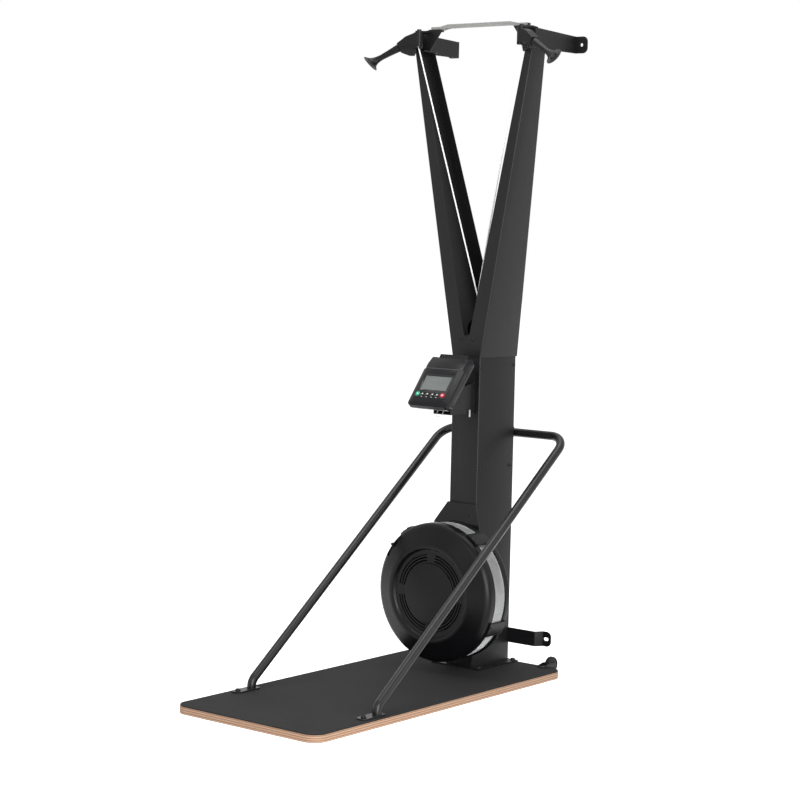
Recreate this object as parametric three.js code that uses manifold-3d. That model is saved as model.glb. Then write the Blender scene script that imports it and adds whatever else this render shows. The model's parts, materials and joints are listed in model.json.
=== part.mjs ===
// Ski trainer: a standing cardio machine that is used like a pair of ski poles.
// Two handles on cords run over swivelling heads at the top of a V shaped mast, cross at a
// pair of guide wheels in its crotch, and wind on two drums that drive a fan at the foot.
// Millimetres, +Z up, +X to the user's right, +Y to the back. The origin is the middle of
// the platform's underside, and the user stands at -Y.
import * as THREE from "three";
import { mergeVertices } from "three/addons/utils/BufferGeometryUtils.js";
import Module from "manifold-3d";

const wasm = await Module();
wasm.setup();

// General fits
const GAP = 0.3; // clearance between pieces that touch
const OVERRUN = 4; // how far a cut runs past the face that it opens
const CURVE_STEPS = 3; // flats on each small arc of an outline
const LARGE_CURVE_STEPS = 6; // flats on a corner that the eye falls on
const ROUND_SIDES = 16; // flats round a small bar or hole
const BOLT_SIDES = 12; // flats round a screw's hole
const HEX_SIDES = 6;
const BEND_STEPS = 3; // flats along a cord's bend
const FULL_TURN = 360; // degrees
const HALF_TURN = FULL_TURN / 2;
const QUARTER_TURN = FULL_TURN / 4;

// Platform
const PLATFORM_WIDTH = 600;
const PLATFORM_LENGTH = 1314;
const PLATFORM_CORNER = 50;
const BOARD_THICKNESS = 24;
const MAT_THICKNESS = 4;
const MAT_INSET = 1;

// Column: a welded box of sheet steel on a foot plate
const COLUMN_WIDTH = 118;
const COLUMN_DEPTH = 212;
const COLUMN_WALL = 3;
const COLUMN_SEAM_Z = 1108; // top of the column, where the mast stands on it
const COLUMN_BACK = PLATFORM_LENGTH / 2;
const COLUMN_FRONT = COLUMN_BACK - COLUMN_DEPTH;
const COLUMN_HALF = COLUMN_WIDTH / 2;
const FLOOR_TOP = BOARD_THICKNESS + MAT_THICKNESS;
const FOOT_PLATE_WIDTH = 206;
const FOOT_PLATE_THICKNESS = 5;
const FOOT_PLATE_TOE = 20; // how far the plate runs ahead of the column
const FOOT_BOLT_RADIUS = 5.5;
const FOOT_BOLT_INSET = 13;

// Mast: two open channels in one weldment, with a spigot that plugs into the column
const MAST_WALL = 3;
const MAST_TOP_Z = 2158;
const MAST_TOP_HALF_SPAN = 250; // outer face of a channel at the top
const MAST_TOP_FLANGE = 29; // width of a channel's front flange at the top
const MAST_TOP_FRONT_Y = 434;
const MAST_TOP_DEPTH = 79;
const MAST_FOOT_SIDE_STEP = 2; // how far the mast's foot stands past the column
const MAST_FOOT_BACK_STEP = 6;
const CROTCH_RISE = 84; // of the crotch over the seam
const CROTCH_Z = COLUMN_SEAM_Z + CROTCH_RISE;
const CROTCH_HALF_WIDTH = 13;
const SPIGOT_LENGTH = 68;
const RING_PLATE = 4;

// Heads: a bracket on each channel carries a swivelling pulley housing
const HEAD_INSET = 33; // of the swivel axis from the mast's outer face
const HEAD_X = MAST_TOP_HALF_SPAN - HEAD_INSET;
const HEAD_REACH = 20; // of the swivel axis ahead of the mast's face
const HEAD_Y = MAST_TOP_FRONT_Y - HEAD_REACH;
const HEAD_PLATE = 3.5;
const GUSSET_SETBACK = 29; // of the gusset behind the mast's face
const GUSSET_Y = MAST_TOP_FRONT_Y + GUSSET_SETBACK; // back face
const GUSSET_RISE = 86; // over the mast's top
const GUSSET_TOP_Z = MAST_TOP_Z + GUSSET_RISE;
const GUSSET_TIP_INSET = 99; // of the tip from the mast's outer face
const GUSSET_TIP_X = MAST_TOP_HALF_SPAN - GUSSET_TIP_INSET;
const GUSSET_TIP_HEIGHT = 8;
const GUSSET_SHOULDER_DROP = 17;
const TONGUE_PLATE = 5;
const TONGUE_RADIUS = 14;
const TONGUE_RISE = 72;
const TONGUE_Z = MAST_TOP_Z + TONGUE_RISE;
const HEAD_REST_TURN = 17.6; // degrees from straight out towards the user
const HOUSING_THICKNESS = 30;
const HOUSING_DROP = 15.7; // of the housing's floor under the mast's top
const HOUSING_SKIRT_RISE = 23; // of the floor round the swivel axis over the lowest floor
const HOUSING_SKIRT_LENGTH = 8;
const HOUSING_BEAK_LENGTH = 6;
const HOUSING_BEAK_HEIGHT = 13;
const HOUSING_SLOPE_LENGTH = 8;
const HOUSING_SLOT_WIDTH = 9; // for the cord, which swings as the head swivels
const HOUSING_SLOT_HEIGHT = 10;
const HOUSING_FLOOR_LENGTH = 32;
const HOUSING_CHIN = 10; // rise of the floor towards the nose
const HOUSING_CHIN_X = 60;
const HOUSING_SHOULDER_X = 14;
const HOUSING_SHOULDER_DROP = 9;
const HOUSING_BROW_X = 46;
const HOUSING_BROW_DROP = 21;
const NOSE_RADIUS = 15;
const NOSE_DISTANCE = 59.1; // from the pulley's run-off point to the nose's face
const CORD_BORE_RADIUS = 4.5;
const PIVOT_BOLT_RADIUS = 5;
const PIVOT_BOLT_HEAD_RADIUS = 8;
const PIVOT_BOLT_HEAD_HEIGHT = 5;
const PIVOT_BOLT_ENGAGEMENT = 12;

// Cords and the wheels that they run on
const CORD_RADIUS = 2.5;
const CORD_SIDES = 8;
const CORD_BEND_RADIUS = 10;
const HEAD_PULLEY_RUN = 13; // radius of the cord's middle on the pulley
const HEAD_PULLEY_RISE = 28.7;
const HEAD_PULLEY_SIDES = 12;
const HEAD_PULLEY_Z = MAST_TOP_Z + HEAD_PULLEY_RISE;
const PULLEY_FLANGE = 4; // flange height past the cord's middle
const HEAD_PULLEY_WIDTH = 13;
const PULLEY_PIN_RADIUS = 4;
const PULLEY_SIDE_ROOM = 1.5;
const GUIDE_RUN = 34;
const GUIDE_RISE = 13; // of the wheels' axis over the crotch
const GUIDE_Z = CROTCH_Z + GUIDE_RISE;
const GUIDE_WIDTH = 12;
const GUIDE_PITCH = 16; // between the two wheels, and the two drums
const GUIDE_SETBACK = 58; // of the left cord's wheel and drum behind the column's face
const GUIDE_FRONT_Y = COLUMN_FRONT + GUIDE_SETBACK;
const GUIDE_PIN_RADIUS = 5;
const GROOVE_GAP = 0.6; // clearance of a cord in its groove
const DRUM_RUN = 34;
const DRUM_FLANGE = 8;
const DRUM_WIDTH = 12;

// Handles
const HANDLE_ANGLE = 26.7; // degrees below level
const HANDLE_LENGTH = 123;
const HANDLE_TIP_RADIUS = 14;
const HANDLE_GRIP_RADIUS = 9;
const HANDLE_BELL_RADIUS = 30;
const HANDLE_BELL_SHARES = [[0, 0.02], [0.45, 0.14], [0.78, 0.42], [1, 1]]; // of length, of flare
const HANDLE_GRIP_SHARE = 0.62; // of the handle's length, up to the bell
const HANDLE_MOUTH_TILT = 29; // degrees that the bell's mouth leans over
const HANDLE_MOUTH_TURN = 47; // degrees of that lean from straight down
const HANDLE_NECK_SHARE = 0.25; // of the handle's length, where its tip's taper ends
const HANDLE_SIDES = 18;
const HANDLE_RIM = 3;
const HANDLE_MOUTH_DEPTH = 6; // from the mouth to the knot's pocket
const HANDLE_BORE_RADIUS = 3.2;
const KNOT_RADIUS = 7;
const KNOT_ROOM = 0.6;
const KNOT_SIDES = [8, 6];
const KNOT_DEPTH = 24;

// Cross bar and wall brackets
const CROSSBAR_DEPTH = 22;
const CROSSBAR_HEIGHT = 13;
const CROSSBAR_WALL = 2;
const CROSSBAR_RISE = 1; // of the bar's middle over the gussets' tops
const CROSSBAR_Z = GUSSET_TOP_Z + CROSSBAR_RISE;
const CROSSBAR_INSERTION = 38;
const CROSSBAR_BEND_LENGTH = 34; // of each sloping end ahead of the socket
const CROSSBAR_BEND_DROP = 7;
const SOCKET_INSET = 84; // of the socket's mouth from the mast's outer face
const SOCKET_MOUTH_X = MAST_TOP_HALF_SPAN - SOCKET_INSET;
const SOCKET_WALL = 3;
const SOCKET_LENGTH = 45;
const BRACKET_PLATE = 4;
const WALL_REACH = 31; // of the wall's plane behind the column
const WALL_PLANE_Y = COLUMN_BACK + WALL_REACH; // back faces of all wall flanges
const WALL_BRACKET_SETBACK = 9; // behind the mast's face
const WALL_BRACKET_FRONT_Y = MAST_TOP_FRONT_Y + WALL_BRACKET_SETBACK;
const WALL_BRACKET_DROP = 2; // under the mast's top
const WALL_BRACKET_BOTTOM_Z = MAST_TOP_Z - WALL_BRACKET_DROP;
const WALL_BRACKET_FRONT_HEIGHT = 68;
const WALL_BRACKET_BACK_HEIGHT = 57;
const WALL_FLANGE_WIDTH = 50;
const WALL_FLANGE_CORNER = 18;
const WALL_HOLE_RADIUS = 6;
const LOWER_BAR_Z = 117;
const LOWER_BAR_HEIGHT = 53;
const LOWER_BAR_HALF_LENGTH = 222;
const LOWER_BAR_JOG_X = 172; // where the joggle to the wall starts
const LOWER_BAR_JOG_LENGTH = 16;
const LOWER_BAR_SLOT_LENGTH = 20;

// Brace: one bent tube from foot to foot, behind the column
const BRACE_RADIUS = 15;
const BRACE_WALL = 2;
const BRACE_SIDES = 12;
const BRACE_BORE_SIDES = 6;
const BRACE_INSET = 33.6; // of the tube's middle from the platform's side
const BRACE_HALF_SPAN = PLATFORM_WIDTH / 2 - BRACE_INSET;
const BRACE_FOOT_INSET = 328; // of the tube's foot from the platform's front
const BRACE_FOOT_Y = BRACE_FOOT_INSET - PLATFORM_LENGTH / 2;
const BRACE_FOOT_BEND_Z = 54.8;
const BRACE_STAND_OFF = 25.7; // of the tube's middle behind the column
const BRACE_TOP_Y = COLUMN_BACK + BRACE_STAND_OFF;
const BRACE_TOP_Z = 836.6;
const BRACE_FOOT_BEND_RADIUS = 38;
const BRACE_ELBOW_RADIUS = 66;
const BRACE_FOOT_BEND_STEPS = 3;
const BRACE_ELBOW_STEPS = 5;
const BRACE_SHOE_WIDTH = 40;
const BRACE_SHOE_THICKNESS = 5;
const BRACE_SHOE_TOE = 86;
const BRACE_SHOE_HEEL = 26;
const BRACE_SHOE_HEEL_CORNER = 10;
const BRACE_VENT_RADIUS = 7.5;
const BRACE_SHOE_BOLT_Y = -65; // from the tube's foot
const BRACE_CLAMP_WIDTH = 60;
const BRACE_CLAMP_WALL = 8;
const BRACE_CLAMP_PLATE_HALF = 46;

// Fan
const COVER_RADIUS = 240;
const FAN_FLOOR_ROOM = 37; // under the cover
const FAN_Z = FLOOR_TOP + FAN_FLOOR_ROOM + COVER_RADIUS;
const FAN_STAND_OFF = 182; // of the cover's front ahead of the column
const COVER_FRONT_Y = COLUMN_FRONT - FAN_STAND_OFF;
const AXLE_RADIUS = 8.5;
const AXLE_SETBACK = 29; // of the axle's end behind the cover's front
const AXLE_FRONT_Y = COVER_FRONT_Y + AXLE_SETBACK;
const AXLE_NUT_RADIUS = 14;
const AXLE_NUT_LENGTH = 12;
const COVER_DEPTH = 60;
const COVER_BACK_Y = COVER_FRONT_Y + COVER_DEPTH;
const COVER_WALL = 3.5;
const COVER_DISC_SHARE = 0.4333; // of the cover's radius
const COVER_DISC_RADIUS = COVER_RADIUS * COVER_DISC_SHARE;
const COVER_DISC_RISE = 9; // of the middle disc over the ring of slots
const COVER_RIDGE_SHARE = 0.6792; // of the cover's radius
const COVER_RIDGE_RADIUS = COVER_RADIUS * COVER_RIDGE_SHARE;
const COVER_RIDGE_HALF = 7; // of the flat top of the ridge
const COVER_RIDGE_FOOT = 14; // from the ridge's middle to its foot
const COVER_SHOULDER_INSET = 13;
const COVER_SHOULDER_RADIUS = COVER_RADIUS - COVER_SHOULDER_INSET;
const COVER_ROUND = 3.25; // of the shoulder's edge
const COVER_SHOULDER_DROP = 21;
const COVER_EDGE_DROP = 38;
const SLOT_MARGIN = 7; // between the disc and the first slot
const SLOT_FIRST_RADIUS = COVER_DISC_RADIUS + SLOT_MARGIN;
const SLOT_WIDTH = 5;
const SLOT_PITCH = 10;
const SLOT_ROWS = 3;
const SLOT_SECTORS = 4;
const SLOT_BRIDGE = 16; // degrees of solid between the sectors
const SLOT_TURN = 45; // degrees, middle of the first sector
const BAND_THICKNESS = 1.6;
const BAND_INSET = 5; // of the mesh band under the covers' rims
const BAND_WIDTH = 58;
const BAND_COLUMNS = 30;
const BAND_ROWS = 2;
const BAND_HOLE_LENGTH = 21;
const BAND_HOLE_WIDTH = 40;
const BAND_HOLE_DEPTH = 6.4;
const PAN_DEPTH = 30;
const PAN_WALL = 3.5;
const PAN_RIM = 8;
const FAN_SIDES = 36;
const CLIP_ANGLES = [54, 126, 205, 335]; // degrees round the fan, from +X towards +Z
const CLIP_WIDTH = 52;
const CLIP_THICKNESS = 7;
const CLIP_DEPTH = 14; // of a clip's blank, before the rims are cut from it
const CLIP_KEY_ROOM = 0.6; // between a clip's key and the cover
const CLIP_LAP = 14; // over the rims on both sides of the band
const CLIP_CREST_SHARE = 0.7; // of the width that stands full height
const CLIP_KEY_SHARE = 0.8; // of the width that reaches down to the band
const WHEEL_ROOM = 16; // between the wheel and the cover's rim
const WHEEL_RADIUS = COVER_RADIUS - WHEEL_ROOM;
const WHEEL_HUB_RADIUS = 32;
const WHEEL_HUB_LENGTH = 84;
const WHEEL_DISC = 3;
const WHEEL_DISC_BORE = 16;
const WHEEL_DISC_ROOM = 19; // between the disc's front and the pan's back
const WHEEL_DISC_Y = COVER_BACK_Y + BAND_WIDTH + PAN_DEPTH - WHEEL_DISC_ROOM;
const BLADE_COUNT = 20;
const BLADE_ROOT_SHARE = 0.527; // of the wheel's radius
const BLADE_ROOT_RADIUS = WHEEL_RADIUS * BLADE_ROOT_SHARE;
const BLADE_THICKNESS = 2.4;
const BLADE_DEPTH = 62;
const BLADE_SWEEP = 14; // degrees that a blade leans back over its length
const BLADE_STEPS = 2;
const DAMPER_INNER_ROOM = 2; // outside the cover's disc
const DAMPER_INNER_RADIUS = COVER_DISC_RADIUS + DAMPER_INNER_ROOM;
const DAMPER_OUTER_ROOM = 16; // inside the cover's ridge
const DAMPER_OUTER_RADIUS = COVER_RIDGE_RADIUS - DAMPER_OUTER_ROOM;
const DAMPER_THICKNESS = 2.2;
const DAMPER_ANGLE = 140; // degrees, lever at rest
const DAMPER_ARM_WIDTH = 14;
const DAMPER_ARM_DROP = 14; // from the ring back to the arm
const DAMPER_ARM_THICKNESS = 3;
const DAMPER_KNOB_INSET = 17; // of the knob's inner end from the cover's rim
const DAMPER_KNOB_RADIUS_IN = COVER_RADIUS - DAMPER_KNOB_INSET;
const DAMPER_KNOB_LENGTH = 13;
const DAMPER_KNOB_HEIGHT = 15;
const DAMPER_TRAVEL = 9; // degrees either way
const DAMPER_NOTCH_DEPTH = 21; // of the notch into the cover's rim
const BEARING_RADIUS = 24;
const BEARING_FLANGE_RADIUS = 34;
const BEARING_FLANGE = 8;
const REAR_BEARING_LENGTH = 17;
const RECOIL_RADIUS = 44;
const RECOIL_WIDTH = 15;
const RECOIL_ROOM = 2; // between a recoil spring and its drum
const RECOIL_EAR = 14;
const FAN_BRACKET_SHEET = 4;
const FAN_BRACKET_LAP = 8; // of the hood's top edge on the column's face
const FAN_BRACKET_TOP_RISE = 297; // over the fan's axis
const FAN_BRACKET_TOP_Z = FAN_Z + FAN_BRACKET_TOP_RISE;
const FAN_BRACKET_SHOULDER_RISE = 227;
const FAN_BRACKET_SHOULDER_Z = FAN_Z + FAN_BRACKET_SHOULDER_RISE;
const FAN_BRACKET_DROP = 175; // below the fan's axis
const FAN_BRACKET_BOTTOM_Z = FAN_Z - FAN_BRACKET_DROP;
const FAN_BRACKET_TOP_HALF = 60;
const FAN_BRACKET_HALF = 98;

// Guide wheel bracket in the mast's foot
const GUIDE_SHELF_HALF = 26;
const GUIDE_SHEET = 3.5;
const GUIDE_SHELF_DROP = 58; // below the wheels' axis
const GUIDE_CHEEK_HALF = 12;
const GUIDE_CHEEK_RISE = 12;
const GUIDE_FLANGE_HEIGHT = 38;
const GUIDE_PIN_END = 7; // of the pin past each wheel

// Console, in its own frame: x across, y into the case, z up the panel from the screen's middle
const CONSOLE_REACH = 168; // of the screen's middle ahead of the column
const CONSOLE_Y = COLUMN_FRONT - CONSOLE_REACH;
const CONSOLE_SEAM_DROP = 82.1; // of the screen's middle under the column's seam
const CONSOLE_Z = COLUMN_SEAM_Z - CONSOLE_SEAM_DROP;
const CONSOLE_TILT = 38; // degrees from upright
const CONSOLE_THICKNESS = 48;
const CONSOLE_FRONT = { half: 67, below: 80, above: 102, radius: 12, depth: 0 };
const CONSOLE_CREASE = { half: 85, below: 91, above: 112, radius: 14, depth: 7 };
const CONSOLE_RIM = { half: 86, below: 93, above: 118, radius: 16, depth: 20 };
const CONSOLE_BACK = { half: 76, below: 78, above: 120, radius: 16, depth: CONSOLE_THICKNESS };
const CONSOLE_PANEL_ABOVE = 60; // where the hood leans back from the panel
const CONSOLE_HOOD_SETBACK = 12;
const CONSOLE_HOOD_TOP = 112;
const CONSOLE_HOOD_HALF = 79;
const LEDGE_HALF_WIDTH = 57;
const LEDGE_TOP = 133;
const LEDGE_THICKNESS = 5;
const LEDGE_GROOVE_WIDTH = 7;
const LEDGE_GROOVE_DEPTH = 9;
const SCREEN_WIDTH = 110;
const SCREEN_HEIGHT = 57;
const SCREEN_THICKNESS = 2;
const SCREEN_INSET = 0.7;
const BUTTON_COUNT = 6;
const BUTTON_FIRST_X = -55;
const BUTTON_PITCH = 21;
const BUTTON_ROW_Z = -47;
const BUTTON_RADIUS = 6;
const END_BUTTON_RADIUS = 8; // of the green and the red button
const BUTTON_SIDES = 12;
const BUTTON_PROUD = 2;
const BUTTON_DEPTH = 4;
const BUTTON_TRAVEL = 1.5;
const BUTTON_ROUGHNESS = 0.4;
const LUG_HALF_WIDTH = 33;
const LUG_REACH = 12; // of the hinge pin behind the case
const LUG_RADIUS = 12;
const LUG_ROOT_HALF = 24;
const CONSOLE_PIN_RADIUS = 5;
const ARM_PLATE = 4;
const ARM_RADIUS = 10;
const ARM_BASE_HALF_WIDTH = 42;
const ARM_BASE_HALF_HEIGHT = 76;
const ARM_ROOT_RISE = 34; // of the cheeks over the pin, at the column
const ARM_FLOOR_DROP = 72; // of the arm's floor under the pin

// Transport wheels at the platform's back edge
const ROLLER_INSET = 75; // from the platform's side
const ROLLER_X = PLATFORM_WIDTH / 2 - ROLLER_INSET;
const ROLLER_RADIUS = 28;
const ROLLER_WIDTH = 24;
const ROLLER_TREAD_ROUND = 5;
const ROLLER_SIDES = 20;
const ROLLER_FLOOR_GAP = 2;
const ROLLER_BEHIND = 30; // axle behind the platform's edge
const FORK_PLATE = 3;
const FORK_SHOE_LENGTH = 34;
const FORK_PIN_RADIUS = 4;
const FORK_ROOM = 1;
const FORK_TIP_RADIUS = 8;
const FORK_EAR_RISE = 12; // of an ear over the platform's edge
const FORK_EAR_HEEL = 6; // and over its front end

// Heights and depths that follow from the sizes above
const GUIDE_BACK_Y = GUIDE_FRONT_Y + GUIDE_PITCH;
const BAND_BACK_Y = COVER_BACK_Y + BAND_WIDTH;
const PAN_BACK_Y = BAND_BACK_Y + PAN_DEPTH;
const HEAD_FLOOR_Z = MAST_TOP_Z - HOUSING_DROP;
const HEAD_SKIRT_Z = HEAD_FLOOR_Z + HOUSING_SKIRT_RISE;
const HEAD_ROOF_Z = TONGUE_Z - GAP;
const CORD_BEND_Z = HEAD_SKIRT_Z + CORD_RADIUS;
const ROLLER_Y = PLATFORM_LENGTH / 2 + ROLLER_BEHIND;
const ROLLER_Z = ROLLER_RADIUS + ROLLER_FLOOR_GAP;

const radians = THREE.MathUtils.degToRad;
const sine = (angle) => Math.sin(radians(angle));
const cosine = (angle) => Math.cos(radians(angle));

// Materials, with the colours of the real surfaces
const finish = (color, roughness, metalness) =>
  new THREE.MeshStandardMaterial({ color, roughness, metalness });
const BLACK_STEEL = finish(0x2c2c2e, 0.55, 0.2);
const BLACK_TUBE = finish(0x1c1c1e, 0.35, 0.3);
const BLACK_PLASTIC = finish(0x262628, 0.5, 0);
const GLOSS_PLASTIC = finish(0x222226, 0.25, 0);
const SILVER_STEEL = finish(0x9a9a98, 0.4, 0.7);
const BRIGHT_STEEL = finish(0xb8babc, 0.3, 0.9);
const MESH_STEEL = finish(0x8a8b8c, 0.45, 0.8);
const PLYWOOD = finish(0xcfa585, 0.6, 0);
const MAT_RUBBER = finish(0x3c3c3d, 0.85, 0);
const WHITE_CORD = finish(0xe8e8e6, 0.8, 0);
const SCREEN_GLASS = finish(0x7f8885, 0.2, 0);
const ROLLER_RUBBER = finish(0x1e1e1f, 0.7, 0);
const BUTTON_COLOURS = [0x1fa37a, 0xb8bcbc, 0xb8bcbc, 0xb8bcbc, 0xb8bcbc, 0xc22a3c];

// A closed geometry as a solid that can be joined and cut
function solidOf(geometry) {
  const bare = geometry.index ? geometry.toNonIndexed() : geometry.clone();
  bare.deleteAttribute("normal");
  bare.deleteAttribute("uv");
  const merged = mergeVertices(bare);
  const triVerts = new Uint32Array(merged.index.array);
  const vertProperties = merged.attributes.position.array;
  const made = new wasm.Manifold(new wasm.Mesh({ numProp: 3, vertProperties, triVerts }));
  if (made.volume() >= 0) return made;
  for (let i = 0; i < triVerts.length; i += 3) {
    [triVerts[i + 1], triVerts[i + 2]] = [triVerts[i + 2], triVerts[i + 1]];
  }
  return new wasm.Manifold(new wasm.Mesh({ numProp: 3, vertProperties, triVerts }));
}

// A solid as a geometry for a mesh
function geometryOf(solid) {
  const made = solid.getMesh();
  const positions = new Float32Array(made.numVert * 3);
  for (let i = 0; i < made.numVert; i++) {
    positions.set(made.vertProperties.subarray(i * made.numProp, i * made.numProp + 3), i * 3);
  }
  const geometry = new THREE.BufferGeometry();
  geometry.setAttribute("position", new THREE.BufferAttribute(positions, 3));
  geometry.setIndex(new THREE.BufferAttribute(made.triVerts, 1));
  const faceted = geometry.toNonIndexed();
  faceted.computeVertexNormals();
  return faceted;
}

const join = (first, ...others) => others.reduce((whole, piece) => whole.add(piece), first);
const cut = (first, ...tools) => tools.reduce((whole, tool) => whole.subtract(tool), first);

// A block between two values on each axis
function block([x0, x1], [y0, y1], [z0, z1]) {
  const geometry = new THREE.BoxGeometry(x1 - x0, y1 - y0, z1 - z0);
  geometry.translate((x0 + x1) / 2, (y0 + y1) / 2, (z0 + z1) / 2);
  return solidOf(geometry);
}

const PLANES = {
  x: [new THREE.Vector3(0, 1, 0), new THREE.Vector3(0, 0, 1), new THREE.Vector3(1, 0, 0)],
  y: [new THREE.Vector3(1, 0, 0), new THREE.Vector3(0, 0, 1), new THREE.Vector3(0, -1, 0)],
  z: [new THREE.Vector3(1, 0, 0), new THREE.Vector3(0, 1, 0), new THREE.Vector3(0, 0, 1)],
};

// An outline pushed along an axis between two values. The outline is (y, z) along x,
// (x, z) along y and (x, y) along z, as a list of points or as a shape.
function slab(outline, axis, [from, to], curveSegments = CURVE_STEPS) {
  const shape = outline instanceof THREE.Shape ? outline : polygon(outline);
  const geometry = new THREE.ExtrudeGeometry(shape, {
    depth: to - from,
    bevelEnabled: false,
    curveSegments,
  });
  geometry.translate(0, 0, axis === "y" ? -to : from);
  geometry.applyMatrix4(new THREE.Matrix4().makeBasis(...PLANES[axis]));
  return solidOf(geometry);
}

const polygon = (points) => new THREE.Shape(points.map(([x, y]) => new THREE.Vector2(x, y)));

const alike = (radius) => [radius, radius, radius, radius];

// A rectangle with its own radius at each corner, anticlockwise from the lower left
function roundedRectangle([x0, x1], [y0, y1], radii) {
  const [lowerLeft, lowerRight, upperRight, upperLeft] = radii;
  const quarter = Math.PI / 2;
  const shape = new THREE.Shape();
  shape.moveTo(x0 + lowerLeft, y0);
  shape.lineTo(x1 - lowerRight, y0);
  if (lowerRight) shape.absarc(x1 - lowerRight, y0 + lowerRight, lowerRight, -quarter, 0, false);
  shape.lineTo(x1, y1 - upperRight);
  if (upperRight) shape.absarc(x1 - upperRight, y1 - upperRight, upperRight, 0, quarter, false);
  shape.lineTo(x0 + upperLeft, y1);
  if (upperLeft) shape.absarc(x0 + upperLeft, y1 - upperLeft, upperLeft, quarter, 2 * quarter, false);
  shape.lineTo(x0, y0 + lowerLeft);
  if (lowerLeft) shape.absarc(x0 + lowerLeft, y0 + lowerLeft, lowerLeft, 2 * quarter, 3 * quarter, false);
  return shape;
}

// A round bar along an axis between two values, centred on the two other coordinates
function rod(axis, radius, [from, to], [first, second], sides = ROUND_SIDES) {
  const geometry = new THREE.CylinderGeometry(radius, radius, to - from, sides);
  const middle = (from + to) / 2;
  if (axis === "x") geometry.rotateZ(Math.PI / 2).translate(middle, first, second);
  if (axis === "y") geometry.translate(first, middle, second);
  if (axis === "z") geometry.rotateX(Math.PI / 2).translate(first, second, middle);
  return solidOf(geometry);
}

// A profile of (radius, y) points turned about a line along Y at the height z
function turned(profile, z, sides) {
  const points = profile.map(([radius, y]) => new THREE.Vector2(radius, y));
  return solidOf(new THREE.LatheGeometry(points, sides).translate(0, 0, z));
}

// A flat ring about a line along Y
function ring(innerRadius, outerRadius, [from, to], z, sides) {
  const profile = [[innerRadius, from], [outerRadius, from], [outerRadius, to], [innerRadius, to]];
  return turned([...profile, profile[0]], z, sides);
}

// A sector of a flat ring, from one angle to another in the XZ plane
function sector([innerRadius, outerRadius], [startAngle, endAngle], yRange, z) {
  const outer = [];
  const inner = [];
  for (let i = 0; i <= CURVE_STEPS; i++) {
    const angle = startAngle + ((endAngle - startAngle) * i) / CURVE_STEPS;
    outer.push([outerRadius * cosine(angle), z + outerRadius * sine(angle)]);
    inner.push([innerRadius * cosine(angle), z + innerRadius * sine(angle)]);
  }
  return slab([...outer, ...inner.reverse()], "y", yRange);
}

// A path of straight runs with a round bend at each inner corner
class BentPath extends THREE.Curve {
  constructor(corners, bendRadius, bendSteps) {
    super();
    this.points = [corners[0]];
    this.tangents = [corners[1].clone().sub(corners[0]).normalize()];
    for (let i = 1; i < corners.length - 1; i++) {
      const before = corners[i].clone().sub(corners[i - 1]).normalize();
      const after = corners[i + 1].clone().sub(corners[i]).normalize();
      this.addBend(corners[i], before, after, bendRadius(i), bendSteps(i));
    }
    this.points.push(corners.at(-1));
    this.tangents.push(corners.at(-1).clone().sub(corners.at(-2)).normalize());
  }

  addBend(corner, before, after, radius, steps) {
    const turn = before.angleTo(after);
    const reach = radius * Math.tan(turn / 2);
    const start = corner.clone().addScaledVector(before, -reach);
    const inward = after.clone().addScaledVector(before, -before.dot(after)).normalize();
    for (let k = 0; k <= steps; k++) {
      const angle = (turn * k) / steps;
      const point = start.clone().addScaledVector(before, radius * Math.sin(angle));
      this.points.push(point.addScaledVector(inward, radius * (1 - Math.cos(angle))));
      const tangent = before.clone().multiplyScalar(Math.cos(angle));
      this.tangents.push(tangent.addScaledVector(inward, Math.sin(angle)));
    }
  }

  get stations() {
    return this.points.length - 1;
  }

  getPointAt(share) {
    return this.points[Math.round(share * this.stations)].clone();
  }

  getTangentAt(share) {
    return this.tangents[Math.round(share * this.stations)].clone();
  }
}

// A round section of a given number of sides
function circle(radius, sides) {
  const turn = (2 * Math.PI) / sides;
  const corner = (unused, i) => new THREE.Vector2(radius * Math.cos(i * turn), radius * Math.sin(i * turn));
  return Array.from({ length: sides }, corner);
}

// A solid or hollow round bar along a bent path
function bentBar(path, radius, sides, boreRadius = 0, boreSides = sides) {
  const section = new THREE.Shape(circle(radius, sides));
  if (boreRadius > 0) section.holes.push(new THREE.Path(circle(boreRadius, boreSides)));
  return solidOf(new THREE.ExtrudeGeometry(section, { steps: path.stations, extrudePath: path }));
}

const trainer = new THREE.Group();

// Adds a named piece to a group, which is the whole machine unless another is given
function place(name, solid, material, group = trainer) {
  const mesh = new THREE.Mesh(geometryOf(solid), material);
  mesh.name = name;
  group.add(mesh);
  return mesh;
}

function mirrored(mesh) {
  mesh.scale.x = -1;
  return mesh;
}

// Platform: plywood with round corners under a rubber mat
function platformSheet(inset, zRange) {
  const halfWidth = PLATFORM_WIDTH / 2 - inset;
  const halfLength = PLATFORM_LENGTH / 2 - inset;
  const radii = alike(PLATFORM_CORNER - inset);
  const outline = roundedRectangle([-halfWidth, halfWidth], [-halfLength, halfLength], radii);
  return slab(outline, "z", zRange, LARGE_CURVE_STEPS);
}

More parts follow.
